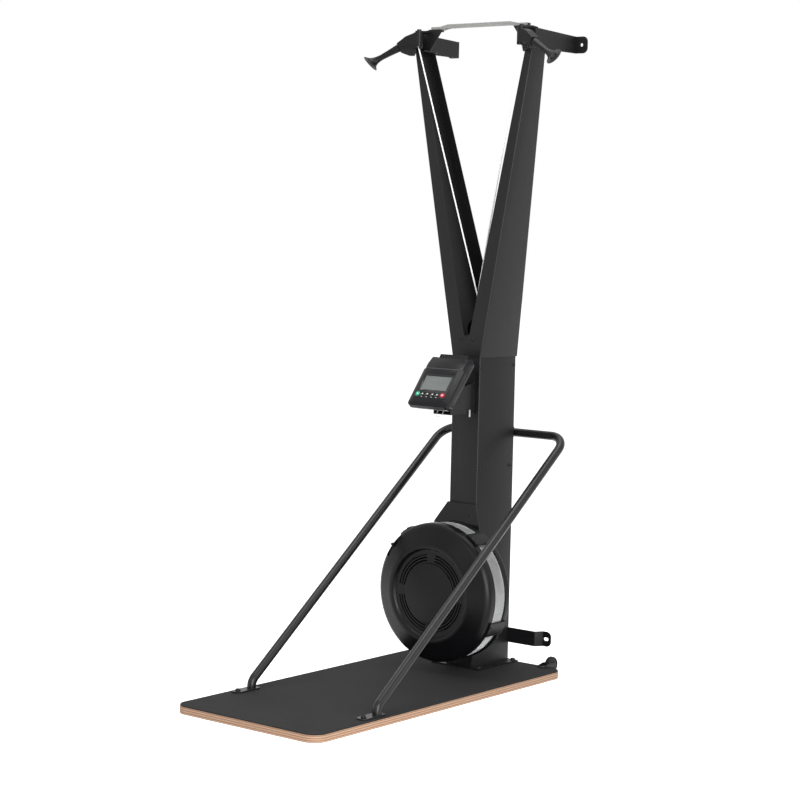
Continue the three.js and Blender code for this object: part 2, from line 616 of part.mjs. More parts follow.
// Column: box section on a foot plate, open at both ends, with seats for the fan's axle
function columnSolid() {
  const footTop = FLOOR_TOP + FOOT_PLATE_THICKNESS;
  const footFront = COLUMN_FRONT - FOOT_PLATE_TOE;
  const halfFoot = FOOT_PLATE_WIDTH / 2;
  const box = block([-COLUMN_HALF, COLUMN_HALF], [COLUMN_FRONT, COLUMN_BACK], [FLOOR_TOP, COLUMN_SEAM_Z]);
  const foot = block([-halfFoot, halfFoot], [footFront, COLUMN_BACK], [FLOOR_TOP, footTop]);
  const innerHalf = COLUMN_HALF - COLUMN_WALL;
  const innerY = [COLUMN_FRONT + COLUMN_WALL, COLUMN_BACK - COLUMN_WALL];
  const inside = block([-innerHalf, innerHalf], innerY, [FLOOR_TOP - OVERRUN, COLUMN_SEAM_Z + OVERRUN]);
  const wallCut = [COLUMN_FRONT - OVERRUN, COLUMN_FRONT + COLUMN_WALL + OVERRUN];
  const bearingHole = rod("y", BEARING_RADIUS + GAP, wallCut, [0, FAN_Z]);
  const footCut = [FLOOR_TOP - OVERRUN, footTop + OVERRUN];
  const boltHoles = [];
  for (const x of [-halfFoot + FOOT_BOLT_INSET, halfFoot - FOOT_BOLT_INSET]) {
    for (const y of [footFront + FOOT_BOLT_INSET, COLUMN_BACK - FOOT_BOLT_INSET]) {
      boltHoles.push(rod("z", FOOT_BOLT_RADIUS, footCut, [x, y], BOLT_SIDES));
    }
  }
  return cut(join(box, foot), inside, bearingHole, ...boltHoles);
}

// Mast, from two outlines: the V seen from the front, and the taper seen from the side
function mastSolid() {
  const footHalf = COLUMN_HALF + MAST_FOOT_SIDE_STEP;
  const footFront = COLUMN_FRONT - MAST_FOOT_SIDE_STEP;
  const footBack = COLUMN_BACK + MAST_FOOT_BACK_STEP;
  const footZ = COLUMN_SEAM_Z + GAP;
  const topBack = MAST_TOP_FRONT_Y + MAST_TOP_DEPTH;
  const flangeTop = MAST_TOP_HALF_SPAN - MAST_TOP_FLANGE;
  const vee = new THREE.Shape();
  vee.moveTo(footHalf, footZ);
  vee.lineTo(MAST_TOP_HALF_SPAN, MAST_TOP_Z);
  vee.lineTo(flangeTop, MAST_TOP_Z);
  vee.lineTo(CROTCH_HALF_WIDTH, CROTCH_Z);
  vee.absarc(0, CROTCH_Z, CROTCH_HALF_WIDTH, 0, Math.PI, true);
  vee.lineTo(-flangeTop, MAST_TOP_Z);
  vee.lineTo(-MAST_TOP_HALF_SPAN, MAST_TOP_Z);
  vee.lineTo(-footHalf, footZ);
  const taper = [[footFront, footZ], [footBack, footZ], [topBack, MAST_TOP_Z], [MAST_TOP_FRONT_Y, MAST_TOP_Z]];
  const outer = slab(vee, "y", [MAST_TOP_FRONT_Y - OVERRUN, footBack + OVERRUN])
    .intersect(slab(taper, "x", [-MAST_TOP_HALF_SPAN - OVERRUN, MAST_TOP_HALF_SPAN + OVERRUN]));
  const innerFoot = footHalf - MAST_WALL;
  const innerTop = MAST_TOP_HALF_SPAN - MAST_WALL;
  const innerVee = [[-innerFoot, footZ], [innerFoot, footZ], [innerTop, MAST_TOP_Z], [-innerTop, MAST_TOP_Z]];
  const innerTaper = [
    [footFront + MAST_WALL, footZ],
    [footBack - MAST_WALL, footZ],
    [topBack - MAST_WALL, MAST_TOP_Z],
    [MAST_TOP_FRONT_Y + MAST_WALL, MAST_TOP_Z],
  ];
  const inner = slab(innerVee, "y", [MAST_TOP_FRONT_Y, footBack])
    .intersect(slab(innerTaper, "x", [-MAST_TOP_HALF_SPAN, MAST_TOP_HALF_SPAN]));
  const ringZ = [footZ, footZ + RING_PLATE];
  const ringPlate = block([-footHalf, footHalf], [footFront, footBack], ringZ).intersect(outer);
  const spigotHalf = COLUMN_HALF - COLUMN_WALL - GAP;
  const spigotY = [COLUMN_FRONT + COLUMN_WALL + GAP, COLUMN_BACK - COLUMN_WALL - GAP];
  const spigotZ = [COLUMN_SEAM_Z - SPIGOT_LENGTH, footZ + RING_PLATE];
  const spigot = block([-spigotHalf, spigotHalf], spigotY, spigotZ);
  const boreHalf = spigotHalf - MAST_WALL;
  const boreY = [spigotY[0] + MAST_WALL, spigotY[1] - MAST_WALL];
  const bore = block([-boreHalf, boreHalf], boreY, [spigotZ[0] - OVERRUN, spigotZ[1] + OVERRUN]);
  return join(cut(outer, inner), cut(join(ringPlate, spigot), bore));
}

// Head bracket: a cap over the channel's open end with a gusset standing on it, a tongue
// forward to the swivel, a cheek for the wall bracket and a socket for the cross bar
function headBracketSolid() {
  const gussetY = [GUSSET_Y - HEAD_PLATE, GUSSET_Y];
  const cap = MAST_TOP_Z + GAP;
  const outer = MAST_TOP_HALF_SPAN;
  const channelBack = MAST_TOP_FRONT_Y + MAST_TOP_DEPTH;
  const gusset = slab([
    [outer - MAST_TOP_FLANGE - TONGUE_RADIUS, cap],
    [outer, cap],
    [outer, GUSSET_TOP_Z - GUSSET_SHOULDER_DROP],
    [HEAD_X - TONGUE_RADIUS, GUSSET_TOP_Z],
    [GUSSET_TIP_X, GUSSET_TOP_Z],
    [GUSSET_TIP_X, GUSSET_TOP_Z - GUSSET_TIP_HEIGHT],
  ], "y", gussetY);
  const capX = [outer - MAST_TOP_FLANGE - TONGUE_RADIUS, outer];
  const capPlate = block(capX, [MAST_TOP_FRONT_Y, channelBack], [cap, cap + TONGUE_PLATE]);
  const cheekTop = WALL_BRACKET_BOTTOM_Z + WALL_BRACKET_BACK_HEIGHT;
  const cheek = block([outer - BRACKET_PLATE, outer], [MAST_TOP_FRONT_Y, channelBack], [cap, cheekTop]);
  const tongue = new THREE.Shape();
  tongue.moveTo(HEAD_X + TONGUE_RADIUS, GUSSET_Y);
  tongue.lineTo(HEAD_X - TONGUE_RADIUS, GUSSET_Y);
  tongue.absarc(HEAD_X, HEAD_Y, TONGUE_RADIUS, Math.PI, 2 * Math.PI, false);
  const arm = slab(tongue, "z", [TONGUE_Z, TONGUE_Z + TONGUE_PLATE]);
  const socketHalf = CROSSBAR_HEIGHT / 2 + GAP + SOCKET_WALL;
  const socketY = [GUSSET_Y - HEAD_PLATE, crossbarY[1] + GAP + SOCKET_WALL];
  const socketZ = [crossbarEndZ - socketHalf, crossbarEndZ + socketHalf];
  const socket = block([SOCKET_MOUTH_X, SOCKET_MOUTH_X + SOCKET_LENGTH], socketY, socketZ);
  const room = block(
    [SOCKET_MOUTH_X - OVERRUN, SOCKET_MOUTH_X + CROSSBAR_INSERTION + GAP],
    [crossbarY[0] - GAP, crossbarY[1] + GAP],
    [socketZ[0] + SOCKET_WALL, socketZ[1] - SOCKET_WALL],
  );
  const boltZ = [TONGUE_Z - OVERRUN, TONGUE_Z + TONGUE_PLATE + OVERRUN];
  const boltHole = rod("z", PIVOT_BOLT_RADIUS + GAP, boltZ, [HEAD_X, HEAD_Y]);
  return cut(join(gusset, capPlate, cheek, arm, socket), room, boltHole);
}

const crossbarY = [GUSSET_Y + GAP, GUSSET_Y + GAP + CROSSBAR_DEPTH];
const crossbarEndZ = CROSSBAR_Z - CROSSBAR_BEND_DROP;

// Cross bar: a hollow bar whose ends slope down to the sockets
function crossbarSolid() {
  const reach = SOCKET_MOUTH_X + CROSSBAR_INSERTION;
  const bend = SOCKET_MOUTH_X - CROSSBAR_BEND_LENGTH;
  const outline = (half, end) => {
    const upper = [
      [end, crossbarEndZ + half],
      [SOCKET_MOUTH_X - GAP, crossbarEndZ + half],
      [bend, CROSSBAR_Z + half],
    ];
    const lower = [
      [bend, CROSSBAR_Z - half],
      [SOCKET_MOUTH_X - GAP, crossbarEndZ - half],
      [end, crossbarEndZ - half],
    ];
    const right = [...lower, ...upper];
    return [...right, ...right.map(([x, z]) => [-x, z]).reverse()];
  };
  const half = CROSSBAR_HEIGHT / 2;
  const boreY = [crossbarY[0] + CROSSBAR_WALL, crossbarY[1] - CROSSBAR_WALL];
  return cut(
    slab(outline(half, reach), "y", crossbarY),
    slab(outline(half - CROSSBAR_WALL, reach + OVERRUN), "y", boreY),
  );
}

// Wall bracket: a tapered plate beside the head, with a flange to the wall
function wallBracketSolid() {
  const plateX = [MAST_TOP_HALF_SPAN + GAP, MAST_TOP_HALF_SPAN + GAP + BRACKET_PLATE];
  const backTop = WALL_BRACKET_BOTTOM_Z + WALL_BRACKET_BACK_HEIGHT;
  const plate = slab([
    [WALL_BRACKET_FRONT_Y, WALL_BRACKET_BOTTOM_Z],
    [WALL_PLANE_Y, WALL_BRACKET_BOTTOM_Z],
    [WALL_PLANE_Y, backTop],
    [WALL_BRACKET_FRONT_Y, WALL_BRACKET_BOTTOM_Z + WALL_BRACKET_FRONT_HEIGHT],
  ], "x", plateX);
  const flangeX = [plateX[0], plateX[0] + WALL_FLANGE_WIDTH];
  const corner = WALL_FLANGE_CORNER;
  const flange = slab(
    roundedRectangle(flangeX, [WALL_BRACKET_BOTTOM_Z, backTop], [0, corner, corner, 0]),
    "y",
    [WALL_PLANE_Y - BRACKET_PLATE, WALL_PLANE_Y],
  );
  const holeCentre = [(plateX[1] + flangeX[1]) / 2, (WALL_BRACKET_BOTTOM_Z + backTop) / 2];
  const holeY = [WALL_PLANE_Y - BRACKET_PLATE - OVERRUN, WALL_PLANE_Y + OVERRUN];
  const hole = rod("y", WALL_HOLE_RADIUS, holeY, holeCentre);
  return cut(join(plate, flange), hole);
}

// Lower wall bar: flat bar across the column's back with joggled ends, slotted for screws
function lowerWallBarSolid() {
  const frontY = COLUMN_BACK + GAP;
  const tabX = LOWER_BAR_JOG_X + LOWER_BAR_JOG_LENGTH;
  const half = [
    [LOWER_BAR_JOG_X, frontY],
    [tabX, WALL_PLANE_Y - BRACKET_PLATE],
    [LOWER_BAR_HALF_LENGTH, WALL_PLANE_Y - BRACKET_PLATE],
    [LOWER_BAR_HALF_LENGTH, WALL_PLANE_Y],
    [tabX - BRACKET_PLATE / 2, WALL_PLANE_Y],
    [LOWER_BAR_JOG_X - BRACKET_PLATE / 2, frontY + BRACKET_PLATE],
  ];
  const across = half.map(([x, y]) => [-x, y]).reverse();
  const zRange = [LOWER_BAR_Z - LOWER_BAR_HEIGHT / 2, LOWER_BAR_Z + LOWER_BAR_HEIGHT / 2];
  const bar = slab([...half, ...across], "z", zRange);
  const endsX = [-LOWER_BAR_HALF_LENGTH, LOWER_BAR_HALF_LENGTH];
  const ends = roundedRectangle(endsX, zRange, alike(WALL_FLANGE_CORNER));
  const yCut = [frontY - OVERRUN, WALL_PLANE_Y + OVERRUN];
  const slotX = (tabX + LOWER_BAR_HALF_LENGTH) / 2 - WALL_HOLE_RADIUS / 2;
  const slots = [-1, 1].map((side) => slab(
    roundedRectangle(
      [side * slotX - LOWER_BAR_SLOT_LENGTH / 2, side * slotX + LOWER_BAR_SLOT_LENGTH / 2],
      [LOWER_BAR_Z - WALL_HOLE_RADIUS, LOWER_BAR_Z + WALL_HOLE_RADIUS],
      alike(WALL_HOLE_RADIUS),
    ),
    "y",
    [WALL_PLANE_Y - BRACKET_PLATE - OVERRUN, WALL_PLANE_Y + OVERRUN],
  ));
  return cut(bar.intersect(slab(ends, "y", yCut)), ...slots);
}

// Brace: tube with a short upright foot, a long rise, and an elbow at each end of its back run
function braceSolid() {
  const footZ = FLOOR_TOP + BRACE_SHOE_THICKNESS + GAP;
  const half = [
    [BRACE_HALF_SPAN, BRACE_FOOT_Y, footZ],
    [BRACE_HALF_SPAN, BRACE_FOOT_Y, BRACE_FOOT_BEND_Z],
    [BRACE_HALF_SPAN, BRACE_TOP_Y, BRACE_TOP_Z],
  ];
  const corners = [...half, ...half.map(([x, y, z]) => [-x, y, z]).reverse()];
  const isFoot = (i) => i === 1 || i === corners.length - 2;
  const path = new BentPath(
    corners.map((point) => new THREE.Vector3(...point)),
    (i) => (isFoot(i) ? BRACE_FOOT_BEND_RADIUS : BRACE_ELBOW_RADIUS),
    (i) => (isFoot(i) ? BRACE_FOOT_BEND_STEPS : BRACE_ELBOW_STEPS),
  );
  return bentBar(path, BRACE_RADIUS, BRACE_SIDES, BRACE_RADIUS - BRACE_WALL, BRACE_BORE_SIDES);
}

function braceShoeSolid() {
  const half = BRACE_SHOE_WIDTH / 2;
  const shoe = roundedRectangle(
    [BRACE_HALF_SPAN - half, BRACE_HALF_SPAN + half],
    [BRACE_FOOT_Y - BRACE_SHOE_TOE, BRACE_FOOT_Y + BRACE_SHOE_HEEL],
    [half, half, BRACE_SHOE_HEEL_CORNER, BRACE_SHOE_HEEL_CORNER],
  );
  const plateZ = [FLOOR_TOP, FLOOR_TOP + BRACE_SHOE_THICKNESS];
  const cutZ = [plateZ[0] - OVERRUN, plateZ[1] + OVERRUN];
  const boltY = BRACE_FOOT_Y + BRACE_SHOE_BOLT_Y;
  const bolt = rod("z", FOOT_BOLT_RADIUS, cutZ, [BRACE_HALF_SPAN, boltY], BOLT_SIDES);
  const vent = rod("z", BRACE_VENT_RADIUS, cutZ, [BRACE_HALF_SPAN, BRACE_FOOT_Y], BOLT_SIDES);
  return cut(slab(shoe, "z", plateZ), bolt, vent);
}

// Brace clamp: a saddle on the column's back that holds the tube's back run
function braceClampSolid() {
  const radius = BRACE_RADIUS + BRACE_CLAMP_WALL;
  const halfWidth = BRACE_CLAMP_WIDTH / 2;
  const frontY = COLUMN_BACK + GAP;
  const saddle = new THREE.Shape();
  saddle.moveTo(frontY, BRACE_TOP_Z - radius);
  saddle.lineTo(BRACE_TOP_Y, BRACE_TOP_Z - radius);
  saddle.absarc(BRACE_TOP_Y, BRACE_TOP_Z, radius, -Math.PI / 2, Math.PI / 2, false);
  saddle.lineTo(frontY, BRACE_TOP_Z + radius);
  const body = slab(saddle, "x", [-halfWidth, halfWidth]);
  const plate = block(
    [-halfWidth, halfWidth],
    [frontY, frontY + BRACKET_PLATE],
    [BRACE_TOP_Z - BRACE_CLAMP_PLATE_HALF, BRACE_TOP_Z + BRACE_CLAMP_PLATE_HALF],
  );
  const seatX = [-halfWidth - OVERRUN, halfWidth + OVERRUN];
  const seat = rod("x", BRACE_RADIUS + GAP, seatX, [BRACE_TOP_Y, BRACE_TOP_Z]);
  return cut(join(body, plate), seat);
}

// Fan bracket: a folded sheet behind the fan, with a sloping hood up to the column's face
// and two side webs back to it
function fanBracketSolid() {
  const sheet = FAN_BRACKET_SHEET;
  const frontY = PAN_BACK_Y + GAP;
  const backY = COLUMN_FRONT - GAP;
  const profile = [
    [frontY, FAN_BRACKET_BOTTOM_Z],
    [frontY + sheet, FAN_BRACKET_BOTTOM_Z],
    [frontY + sheet, FAN_BRACKET_SHOULDER_Z],
    [backY, FAN_BRACKET_TOP_Z - FAN_BRACKET_LAP],
    [backY, FAN_BRACKET_TOP_Z],
    [backY - FAN_BRACKET_LAP, FAN_BRACKET_TOP_Z],
    [frontY, FAN_BRACKET_SHOULDER_Z + sheet],
  ];
  const outline = [
    [-FAN_BRACKET_HALF, FAN_BRACKET_BOTTOM_Z],
    [FAN_BRACKET_HALF, FAN_BRACKET_BOTTOM_Z],
    [FAN_BRACKET_HALF, FAN_BRACKET_SHOULDER_Z],
    [FAN_BRACKET_TOP_HALF, FAN_BRACKET_TOP_Z],
    [-FAN_BRACKET_TOP_HALF, FAN_BRACKET_TOP_Z],
    [-FAN_BRACKET_HALF, FAN_BRACKET_SHOULDER_Z],
  ];
  const folded = slab(profile, "x", [-FAN_BRACKET_HALF, FAN_BRACKET_HALF])
    .intersect(slab(outline, "y", [frontY - OVERRUN, backY + OVERRUN]));
  const webZ = [FAN_BRACKET_BOTTOM_Z, FAN_BRACKET_SHOULDER_Z];
  const webs = [-1, 1].map((side) => {
    const edges = [side * COLUMN_HALF, side * (COLUMN_HALF - sheet)].sort((a, b) => a - b);
    return block(edges, [frontY, backY], webZ);
  });
  const hole = rod("y", BEARING_FLANGE_RADIUS, [frontY - OVERRUN, frontY + sheet + OVERRUN], [0, FAN_Z]);
  return cut(join(folded, ...webs), hole);
}

// Pan: the fan's back half, with a rolled rim
function panSolid() {
  const rim = COVER_RADIUS - PAN_RIM;
  const profile = [
    [BEARING_FLANGE_RADIUS, PAN_BACK_Y - PAN_WALL],
    [rim, PAN_BACK_Y - PAN_WALL],
    [rim, BAND_BACK_Y + GAP],
    [COVER_RADIUS, BAND_BACK_Y + GAP],
    [COVER_RADIUS, PAN_BACK_Y - PAN_RIM],
    [COVER_RADIUS - PAN_RIM, PAN_BACK_Y],
    [BEARING_FLANGE_RADIUS, PAN_BACK_Y],
  ];
  return turned([...profile, profile[0]], FAN_Z, FAN_SIDES);
}

// Mesh band: a thin perforated ring between the cover and the pan
function bandSolid() {
  const outer = COVER_RADIUS - BAND_INSET;
  const band = ring(outer - BAND_THICKNESS, outer, [COVER_BACK_Y + GAP, BAND_BACK_Y], FAN_Z, BAND_COLUMNS);
  const holes = [];
  const rowPitch = BAND_WIDTH / BAND_ROWS;
  for (let row = 0; row < BAND_ROWS; row++) {
    const y = COVER_BACK_Y + (row + 1 / 2) * rowPitch;
    for (let i = 0; i < BAND_COLUMNS; i++) {
      const hole = new THREE.BoxGeometry(BAND_HOLE_WIDTH, BAND_HOLE_LENGTH, BAND_HOLE_DEPTH);
      hole.translate(0, y, outer);
      hole.rotateY(((i + 1 / 2) * 2 * Math.PI) / BAND_COLUMNS);
      holes.push(solidOf(hole.translate(0, 0, FAN_Z)));
    }
  }
  return cut(band, ...holes);
}

// Cover: a moulded shell with a middle disc, a sunk ring of louvres and a stepped ridge
function coverSolid() {
  const wall = COVER_WALL;
  const sunk = COVER_FRONT_Y + COVER_DISC_RISE;
  const ridge = COVER_RIDGE_RADIUS;
  const edgeY = COVER_FRONT_Y + COVER_EDGE_DROP;
  const shoulderY = COVER_FRONT_Y + COVER_SHOULDER_DROP;
  const front = [
    [0, COVER_FRONT_Y],
    [COVER_DISC_RADIUS, COVER_FRONT_Y],
    [COVER_DISC_RADIUS, sunk],
    [ridge - COVER_RIDGE_FOOT, sunk],
    [ridge - COVER_RIDGE_HALF, COVER_FRONT_Y],
    [ridge + COVER_RIDGE_HALF, COVER_FRONT_Y],
    [COVER_SHOULDER_RADIUS, shoulderY],
    [COVER_RADIUS - COVER_ROUND, (shoulderY + edgeY) / 2],
    [COVER_RADIUS, edgeY],
    [COVER_RADIUS, COVER_BACK_Y],
  ];
  const back = [
    [COVER_RADIUS - wall, COVER_BACK_Y],
    [COVER_RADIUS - wall, edgeY],
    [COVER_SHOULDER_RADIUS - wall / 2, shoulderY + wall],
    [ridge + COVER_RIDGE_HALF, COVER_FRONT_Y + wall],
    [ridge - COVER_RIDGE_HALF, COVER_FRONT_Y + wall],
    [ridge - COVER_RIDGE_FOOT, sunk + wall],
    [COVER_DISC_RADIUS - wall, sunk + wall],
    [COVER_DISC_RADIUS - wall, COVER_FRONT_Y + wall],
    [0, COVER_FRONT_Y + wall],
  ];
  const shell = turned([...front, ...back], FAN_Z, FAN_SIDES);
  return cut(shell, ...louvres([COVER_FRONT_Y, sunk + wall + OVERRUN]), notch(edgeY));
}

// The louvres: rings of arc shaped slots in sectors round the middle disc
function louvres(yRange) {
  const slots = [];
  const sweep = FULL_TURN / SLOT_SECTORS;
  for (let sectorIndex = 0; sectorIndex < SLOT_SECTORS; sectorIndex++) {
    const middle = SLOT_TURN + sectorIndex * sweep;
    const angles = [middle - (sweep - SLOT_BRIDGE) / 2, middle + (sweep - SLOT_BRIDGE) / 2];
    for (let row = 0; row < SLOT_ROWS; row++) {
      const radius = SLOT_FIRST_RADIUS + row * SLOT_PITCH;
      slots.push(sector([radius, radius + SLOT_WIDTH], angles, yRange, FAN_Z));
    }
  }
  return slots;
}

// The damper's windows: one behind each sector of louvres
function damperWindows(yRange) {
  const sweep = FULL_TURN / SLOT_SECTORS;
  const radii = [SLOT_FIRST_RADIUS, SLOT_FIRST_RADIUS + (SLOT_ROWS - 1) * SLOT_PITCH + SLOT_WIDTH];
  return Array.from({ length: SLOT_SECTORS }, (unused, i) => {
    const middle = SLOT_TURN + i * sweep;
    const half = (sweep - SLOT_BRIDGE) / 2;
    return sector(radii, [middle - half, middle + half], yRange, FAN_Z);
  });
}

// The notch in the cover's rim where the damper's lever stands out
function notch(backY) {
  const knobAngle = THREE.MathUtils.radToDeg(DAMPER_ARM_WIDTH / COVER_RADIUS);
  const reach = DAMPER_TRAVEL + knobAngle;
  return sector(
    [COVER_RADIUS - DAMPER_NOTCH_DEPTH, COVER_RADIUS + OVERRUN],
    [DAMPER_ANGLE - reach, DAMPER_ANGLE + reach],
    [COVER_FRONT_Y, backY],
    FAN_Z,
  );
}

// Damper: a ring with windows behind the louvres, turned by a lever in the rim's notch
function damperSolid() {
  const frontY = COVER_FRONT_Y + COVER_DISC_RISE + COVER_WALL + GAP;
  const backY = frontY + DAMPER_THICKNESS;
  const plate = ring(DAMPER_INNER_RADIUS, DAMPER_OUTER_RADIUS, [frontY, backY], FAN_Z, FAN_SIDES);
  const windowCuts = damperWindows([frontY - OVERRUN, backY + OVERRUN]);
  const armY = frontY + DAMPER_ARM_DROP;
  const armBack = armY + DAMPER_ARM_THICKNESS;
  const half = DAMPER_ARM_WIDTH / 2;
  const knobEnd = DAMPER_KNOB_RADIUS_IN + DAMPER_KNOB_LENGTH;
  const lever = join(
    block([DAMPER_OUTER_RADIUS - half, DAMPER_OUTER_RADIUS], [frontY, armBack], [-half, half]),
    block([DAMPER_OUTER_RADIUS - half, knobEnd], [armY, armBack], [-half, half]),
    block([DAMPER_KNOB_RADIUS_IN, knobEnd], [armBack - DAMPER_KNOB_HEIGHT, armBack], [-half / 2, half / 2]),
  ).rotate([0, -DAMPER_ANGLE, 0]).translate([0, 0, FAN_Z]);
  return join(cut(plate, ...windowCuts), lever);
}

// Clip: a moulded bridge over the mesh band that ties the cover to the pan
function clipSolid(angle) {
  const inner = COVER_RADIUS + GAP;
  const half = CLIP_WIDTH / 2;
  const yRange = [COVER_BACK_Y - CLIP_LAP, BAND_BACK_Y + CLIP_LAP];
  const crown = Math.sqrt((inner + CLIP_THICKNESS) ** 2 - half ** 2);
  const outline = slab([
    [crown - CLIP_DEPTH, -half],
    [crown, -half],
    [inner + CLIP_THICKNESS, -half * CLIP_CREST_SHARE],
    [inner + CLIP_THICKNESS, half * CLIP_CREST_SHARE],
    [crown, half],
    [crown - CLIP_DEPTH, half],
  ], "y", yRange);
  const keyY = [COVER_BACK_Y + CLIP_KEY_ROOM, BAND_BACK_Y - GAP];
  const keyBottom = COVER_RADIUS - BAND_INSET + GAP;
  const keyX = [keyBottom - CLIP_THICKNESS, crown];
  const keyOutline = block(keyX, keyY, [-half * CLIP_KEY_SHARE, half * CLIP_KEY_SHARE]);
  const onRim = (solid) => solid.rotate([0, -angle, 0]).translate([0, 0, FAN_Z]);
  const cutY = [yRange[0] - OVERRUN, yRange[1] + OVERRUN];
  const rims = rod("y", inner, cutY, [0, FAN_Z], FAN_SIDES);
  const band = rod("y", keyBottom, cutY, [0, FAN_Z], BAND_COLUMNS);
  return join(cut(onRim(outline), rims), cut(onRim(keyOutline), band));
}

// Fan wheel: hub, back disc and swept blades
function fanWheelSolid() {
  const hubFront = WHEEL_DISC_Y + WHEEL_DISC - WHEEL_HUB_LENGTH;
  const discY = [WHEEL_DISC_Y, WHEEL_DISC_Y + WHEEL_DISC];
  const hub = ring(AXLE_RADIUS + GAP, WHEEL_HUB_RADIUS, [hubFront, discY[1]], FAN_Z, ROUND_SIDES);
  const disc = ring(WHEEL_DISC_BORE, WHEEL_RADIUS, discY, FAN_Z, FAN_SIDES);
  const bladeY = [WHEEL_DISC_Y - BLADE_DEPTH, WHEEL_DISC_Y + WHEEL_DISC / 2];
  const blade = slab(bladeOutline(), "y", bladeY);
  const blades = Array.from({ length: BLADE_COUNT }, (unused, i) =>
    blade.rotate([0, (FULL_TURN * i) / BLADE_COUNT, 0]).translate([0, 0, FAN_Z]));
  return join(hub, disc, ...blades);
}

// One blade from the front: a strip that leans back as it goes out
function bladeOutline() {
  const tip = WHEEL_RADIUS - BLADE_THICKNESS;
  const front = [];
  const back = [];
  for (let i = 0; i <= BLADE_STEPS; i++) {
    const share = i / BLADE_STEPS;
    const radius = BLADE_ROOT_RADIUS + (tip - BLADE_ROOT_RADIUS) * share;
    const angle = BLADE_SWEEP * share * share;
    const x = radius * cosine(angle);
    const z = radius * sine(angle);
    front.push([x, z - BLADE_THICKNESS / 2]);
    back.push([x, z + BLADE_THICKNESS / 2]);
  }
  return [...front, ...back.reverse()];
}

// Axle: from the fan's front to the bearing in the column's back wall
function axleSolid() {
  const shaft = rod("y", AXLE_RADIUS, [AXLE_FRONT_Y, COLUMN_BACK - COLUMN_WALL - GAP], [0, FAN_Z]);
  const hubFront = WHEEL_DISC_Y + WHEEL_DISC - WHEEL_HUB_LENGTH;
  const nutY = [hubFront - GAP - AXLE_NUT_LENGTH, hubFront - GAP];
  const nut = rod("y", AXLE_NUT_RADIUS, nutY, [0, FAN_Z], HEX_SIDES);
  return join(shaft, nut);
}

// Front bearing: a flanged unit through the column's front wall
function frontBearingSolid() {
  const wallBack = COLUMN_FRONT + COLUMN_WALL + GAP;
  const neckFront = PAN_BACK_Y - PAN_WALL;
  const neck = rod("y", BEARING_RADIUS, [neckFront, wallBack + BEARING_FLANGE], [0, FAN_Z]);
  const flange = rod("y", BEARING_FLANGE_RADIUS, [wallBack, wallBack + BEARING_FLANGE], [0, FAN_Z]);
  const boreY = [neckFront - OVERRUN, wallBack + BEARING_FLANGE + OVERRUN];
  return cut(join(neck, flange), rod("y", AXLE_RADIUS + GAP, boreY, [0, FAN_Z]));
}

function rearBearingSolid() {
  const backY = COLUMN_BACK - COLUMN_WALL - GAP;
  const yRange = [backY - REAR_BEARING_LENGTH, backY];
  return ring(AXLE_RADIUS + GAP, BEARING_FLANGE_RADIUS, yRange, FAN_Z, ROUND_SIDES);
}

// A grooved wheel on an axis along Y: bore, flanges and a flat bottomed groove for the cord
function groovedWheel({ bore, run, flange, width }, centreY, z, sides) {
  const bottom = run - CORD_RADIUS - GROOVE_GAP;
  const half = width / 2;
  const bottomHalf = CORD_RADIUS + GROOVE_GAP;
  const profile = [
    [bore, centreY - half],
    [run + flange, centreY - half],
    [bottom, centreY - bottomHalf],
    [bottom, centreY + bottomHalf],
    [run + flange, centreY + half],
    [bore, centreY + half],
  ];
  return turned([...profile, profile[0]], z, sides);
}

// Recoil spring: a flat cassette on the axle with an ear against the column's side wall
function recoilSolid(yRange, side) {
  const cassette = ring(AXLE_RADIUS + GAP, RECOIL_RADIUS, yRange, FAN_Z, ROUND_SIDES);
  const wallX = side * (COLUMN_HALF - COLUMN_WALL - GAP);
  const earX = [side * (RECOIL_RADIUS - RECOIL_EAR / 2), wallX].sort((a, b) => a - b);
  const ear = block(earX, yRange, [FAN_Z - RECOIL_EAR / 2, FAN_Z + RECOIL_EAR / 2]);
  return join(cassette, ear);
}

// Guide bracket: a shelf with a front flange on the mast's face and two cheeks for the pin
function guideBracketSolid() {
  const sheet = GUIDE_SHEET;
  const shelfZ = GUIDE_Z - GUIDE_SHELF_DROP;
  const cheekFront = GUIDE_FRONT_Y - GUIDE_PITCH / 2 - sheet;
  const cheekBack = GUIDE_BACK_Y + GUIDE_PITCH / 2;
  const frontY = mastInnerFrontY(shelfZ) + GAP;
  const shelfX = [-GUIDE_SHELF_HALF, GUIDE_SHELF_HALF];
  const shelf = block(shelfX, [frontY, cheekBack + sheet], [shelfZ, shelfZ + sheet]);
  const flange = block(shelfX, [frontY, frontY + sheet], [shelfZ, shelfZ + GUIDE_FLANGE_HEIGHT]);
  const top = GUIDE_Z + GUIDE_CHEEK_RISE;
  const cheeks = [cheekFront, cheekBack].map((y) =>
    block([-GUIDE_CHEEK_HALF, GUIDE_CHEEK_HALF], [y, y + sheet], [shelfZ, top]));
  const holeY = [cheekFront - OVERRUN, cheekBack + sheet + OVERRUN];
  const pinHole = rod("y", GUIDE_PIN_RADIUS + GAP, holeY, [0, GUIDE_Z]);
  return cut(join(shelf, flange, ...cheeks), pinHole);
}

// The inner face of the mast's front wall at a height
function mastInnerFrontY(z) {
  const share = (z - COLUMN_SEAM_Z) / (MAST_TOP_Z - COLUMN_SEAM_Z);
  const footFront = COLUMN_FRONT - MAST_FOOT_SIDE_STEP;
  return footFront + (MAST_TOP_FRONT_Y - footFront) * share + MAST_WALL;
}

function guidePinSolid() {
  const reach = GUIDE_PITCH / 2 + GUIDE_PIN_END;
  return rod("y", GUIDE_PIN_RADIUS, [GUIDE_FRONT_Y - reach, GUIDE_BACK_Y + reach], [0, GUIDE_Z]);
}

